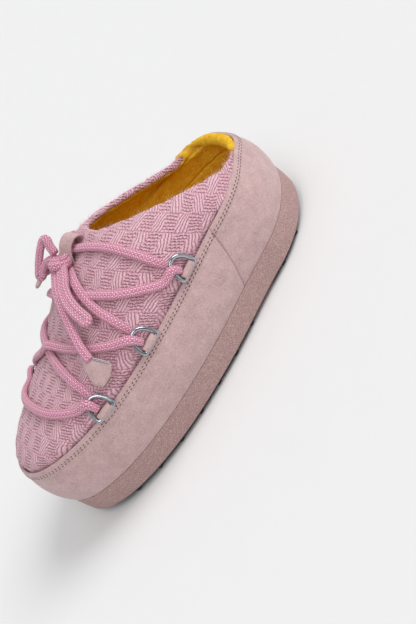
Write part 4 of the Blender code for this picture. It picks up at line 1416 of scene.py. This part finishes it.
def doubled(route, apart):
    """Route out along one side and back along the other, with a round turn at its end."""
    path = smooth_path(route, 24)
    tangent = unit(np.gradient(path, axis=0))
    up = np.array([0, 0, 1.0])
    side = unit(np.cross(tangent, unit(path * np.array([0, 1, 1]) + up * 0.02)))
    end = path[-1] + tangent[-1] * apart / 2
    there = path + side * apart / 2
    back = path - side * apart / 2
    return np.concatenate([there, [end + side[-1] * apart * 0.25, end - side[-1] * apart * 0.25], back[::-1]])


make_cord(
    "bow_loop_near", doubled(NEAR_LOOP_ROUTE, 0.0042), ["lace_loop_near"],
    count=120, width=0.0054, thick=0.0040,
)
make_cord("bow_loop_far", FAR_LOOP_ROUTE, ["lace_loop_far"], thick=0.0056)

PULL_WIDTH = 0.0090
PULL_THICKNESS = 0.0018
PULL_ROUTE = (
    (0.1385, 0.0010, 0.1135), (0.1372, 0.0018, 0.1175), (0.1329, 0.0028, 0.1236), (0.1272, 0.0036, 0.1275),
    (0.1222, 0.0036, 0.1278), (0.1188, 0.0022, 0.1246), (0.1192, -0.0004, 0.1200), (0.1226, -0.0022, 0.1150),
)
# The strap has flopped to the near side, so that its face is turned that way
PULL_TURNED = (-0.30, 0.72, -0.62)


def make_pull_loop():
    """Suede pull strap standing over the laces."""
    route = smooth_path(PULL_ROUTE, 60)
    wide = np.broadcast_to(np.array(PULL_TURNED), route.shape)
    strap = sweep("pull_strap", to_model(route), wide, PULL_WIDTH, PULL_THICKNESS, SUEDE, 5.0, 24)
    return put_on(strap, "pull_loop", slot="suede")


make_pull_loop()

# Outsole: lanes with fine cross ribs between rows of studs, inside a raised rim
WAIST_WIDTH = 0.038
WAIST_FROM = 0.077
WAIST_TO = 0.108
WAIST_BLEND = 0.008
RIM_BOTTOM = 0.0012
RIM_WIDTH = 0.0060
LANE_FLOOR = 0.0040
TREAD_PITCH = 0.0019
TREAD_DEPTH = 0.0007


def waist_limit(s):
    return smoothstep((s - WAIST_FROM) / WAIST_BLEND) * smoothstep((WAIST_TO - s) / WAIST_BLEND)


def plate_width(s, inset):
    """Half the outsole's width at a distance along the sole and an inset."""
    wide = np.maximum(half_width(s) - PLATE_INSET - inset, 0)
    return lerp(wide, np.minimum(wide, WAIST_WIDTH / 2 - inset), waist_limit(s))


# Rings of the plate's rim, from its lanes outwards: height, and inset from the plate's edge
RIM_RINGS = (
    (LANE_FLOOR + 0.0001, RIM_WIDTH + 0.0030), (LANE_FLOOR, RIM_WIDTH + 0.0012),
    (RIM_BOTTOM + 0.0006, RIM_WIDTH + 0.0003), (RIM_BOTTOM, RIM_WIDTH - 0.0003),
    (RIM_BOTTOM, RIM_WIDTH / 2), (RIM_BOTTOM, 0.0010), (RIM_BOTTOM + 0.0003, 0.0003),
    (RIM_BOTTOM + 0.0010, 0.0), (0.0060, 0.0),
)
# Section of a stud from the middle of its hollow: radius and height
STUD_PROFILE = (
    (0.0000, 0.0013), (0.0019, 0.0013), (0.0022, 0.0002), (0.0029, 0.0000), (0.0036, 0.0002),
    (0.0040, 0.0012), (0.0043, 0.0042),
)
# The hollow in a stud's tip is off centre by this much, which leaves a crescent
HOLLOW_RADIUS = 0.0023
HOLLOW_SLIDE = 0.0008
# Small studs at the ends of each row: their place behind it, their inset and their size
SIDE_STUD_BACK = 0.004
SIDE_STUD_INSET = 0.0028
SIDE_STUD_SIZE = 0.66


def make_outsole():
    """Rubber plate: its rim, its ribbed lanes and its studs, joined into one piece."""
    turns = even_turns(700, 0.0)
    rings = []
    for height, inset in RIM_RINGS:
        plan = edge(turns, np.full_like(turns, -PLATE_INSET - inset))
        s = plan[:, 0]
        narrow = np.sign(plan[:, 1]) * np.minimum(np.abs(plan[:, 1]), WAIST_WIDTH / 2 - inset)
        y = lerp(plan[:, 1], narrow, waist_limit(s))
        rings.append(np.stack([s, y, height + spring(edge_at(turns)[:, 0])], axis=-1))
    pieces = [lay_grid("outsole_rim", to_model(np.stack(rings)), RUBBER, closed=True)]
    s = np.linspace(PLATE_INSET + RIM_WIDTH, SOLE_LENGTH - PLATE_INSET - RIM_WIDTH, 620)
    share = np.linspace(-1, 1, 25)
    wide = plate_width(s, RIM_WIDTH + 0.0010)[None, :] * share[:, None]
    near_row = np.min(np.abs(s[None, :] - np.array(STUD_ROWS)[:, None]), axis=0)
    ribbed = smoothstep((near_row - 0.0050) / 0.0012) * smoothstep((0.97 - np.abs(share))[:, None] / 0.04)
    tread = TREAD_DEPTH * (0.5 + 0.5 * np.cos(2 * np.pi * s / TREAD_PITCH)) ** 0.6 * ribbed
    floor = LANE_FLOOR + spring(s)[None, :] - tread
    flat = np.stack([np.broadcast_to(s, wide.shape), wide, floor], axis=-1)
    pieces.append(lay_grid("outsole_lanes", to_model(flat[::-1]), RUBBER))
    angle = np.linspace(0, 2 * math.pi, 21)
    for s in STUD_ROWS:
        room = 2 * (float(half_width(np.array(s))) - PLATE_INSET - STUD_EDGE)
        count = int(room / STUD_PITCH) + 1
        lugs = [(s, STUD_PITCH * (i - (count - 1) / 2), 1.0) for i in range(count)]
        back = s - SIDE_STUD_BACK
        lip = float(half_width(np.array(back))) - PLATE_INSET - SIDE_STUD_INSET
        lugs += [(back, lip, SIDE_STUD_SIZE), (back, -lip, SIDE_STUD_SIZE)]
        for at, y, size in lugs:
            rows = []
            for radius, height in STUD_PROFILE:
                slide = HOLLOW_SLIDE if radius < HOLLOW_RADIUS else 0.0
                x = at + size * (radius * np.cos(angle) + slide)
                z = np.full_like(angle, height) + float(spring(np.array(at)))
                rows.append(np.stack([x, y + size * radius * np.sin(angle), z], axis=-1))
            pieces.append(lay_grid("stud", to_model(np.stack(rows)), RUBBER))
    return put_on(join("rubber_outsole", pieces), "outsole", slot="rubber")


make_outsole()


FIBRES_ON_RIM = 1700
FIBRES_ON_FIELD = 1500
FIBRE_RADIUS = 0.000085
FIBRE_CURL = 0.45


def make_fuzz():
    """Loose fibres over the knit, most of them along the collar's rim. Drawn thicker than real, to show."""
    random = np.random.default_rng(11)

    def between(rim, field):
        return np.concatenate([random.uniform(*rim, FIBRES_ON_RIM), random.uniform(*field, FIBRES_ON_FIELD)])

    turn = between((-2.55, 2.55), (-2.4, 2.4))
    v = between((1.93, 2.0), (1.12, 1.98))
    root = to_model(skin(turn, v))
    normal = skin_normal(turn, v)
    upward = unit(skin(turn, np.full_like(turn, 2.0)) - skin(turn, np.full_like(turn, 1.97)))
    lean = np.concatenate([np.full(FIBRES_ON_RIM, 1.0), np.full(FIBRES_ON_FIELD, 0.0)])[:, None]
    way = unit(normal * lerp(1.0, 0.35, lean) + upward * lean + random.normal(size=root.shape) * 0.75)
    curl = unit(np.cross(way, random.normal(size=root.shape)))
    length = between((0.0015, 0.0042), (0.0012, 0.0026))[:, None]
    side = unit(np.cross(way, [0.3, 0.5, 0.8]))
    other = np.cross(way, side)
    rings = []
    for step in np.linspace(0, 1, 4):
        middle = root + way * length * step + curl * length * FIBRE_CURL * step**2
        width = FIBRE_RADIUS * (1 - 0.75 * step)
        for k in range(3):
            angle = 2 * math.pi * k / 3
            rings.append(middle + width * (math.cos(angle) * side + math.sin(angle) * other))
    corners = np.stack(rings, axis=1)
    faces = []
    for i in range(len(root)):
        first = i * 12
        for row in range(3):
            for k in range(3):
                a = first + row * 3 + k
                b = first + row * 3 + (k + 1) % 3
                faces.append((a, b, b + 3, a + 3))
        faces.append((first + 9, first + 10, first + 11))
    return put_on(lay_mesh("wool_fuzz", corners.reshape(-1, 3), faces, fibre_material()), slot="knit")


make_fuzz()


SKY_STRENGTH = 0.49
DARK_WAY = (0.10, 0.86, 0.50)
# Columns: name, strength, spread in degrees, way towards it
STUDIO_LIGHTS = (
    ("fill light", 0.98, 40, (0.12, 0.64, 0.76)),
    ("key light", 1.58, 35, (-0.72, 0.22, 0.66)),
)


def make_studio():
    """Floor, sky and two wide lights."""
    bpy.ops.object.select_all(action="DESELECT")
    bpy.ops.mesh.primitive_plane_add(size=14)
    floor = bpy.context.object
    floor.name = "studio_floor"
    floor.data.materials.append(floor_material())
    world = bpy.data.worlds.new("studio light")
    bpy.context.scene.world = world
    world.use_nodes = True
    tree = world.node_tree
    sky = tree.nodes["Background"]
    # The dark end of the studio, behind the camera, which polished metal shows
    way = add_node(tree, PLACE, out="Generated")
    facing = add_node(tree, "ShaderNodeVectorMath", way, DARK_WAY, out="Value", operation="DOT_PRODUCT")
    colour = tones(tree, facing, "#FFFFFF", (0.80, 0.93, "#3E5361"))
    fill_inputs(tree, sky, {"Strength": SKY_STRENGTH, "Color": colour})
    for name, energy, angle, way in STUDIO_LIGHTS:
        light = bpy.data.lights.new(name, "SUN")
        light.energy = energy
        light.angle = math.radians(angle)
        lamp = bpy.data.objects.new(name, light)
        lamp.rotation_euler = Vector(way).to_track_quat("Z", "Y").to_euler()
        bpy.context.scene.collection.objects.link(lamp)


make_studio()
bpy.context.scene.view_settings.view_transform = "Standard"
bpy.context.scene.view_settings.look = "None"
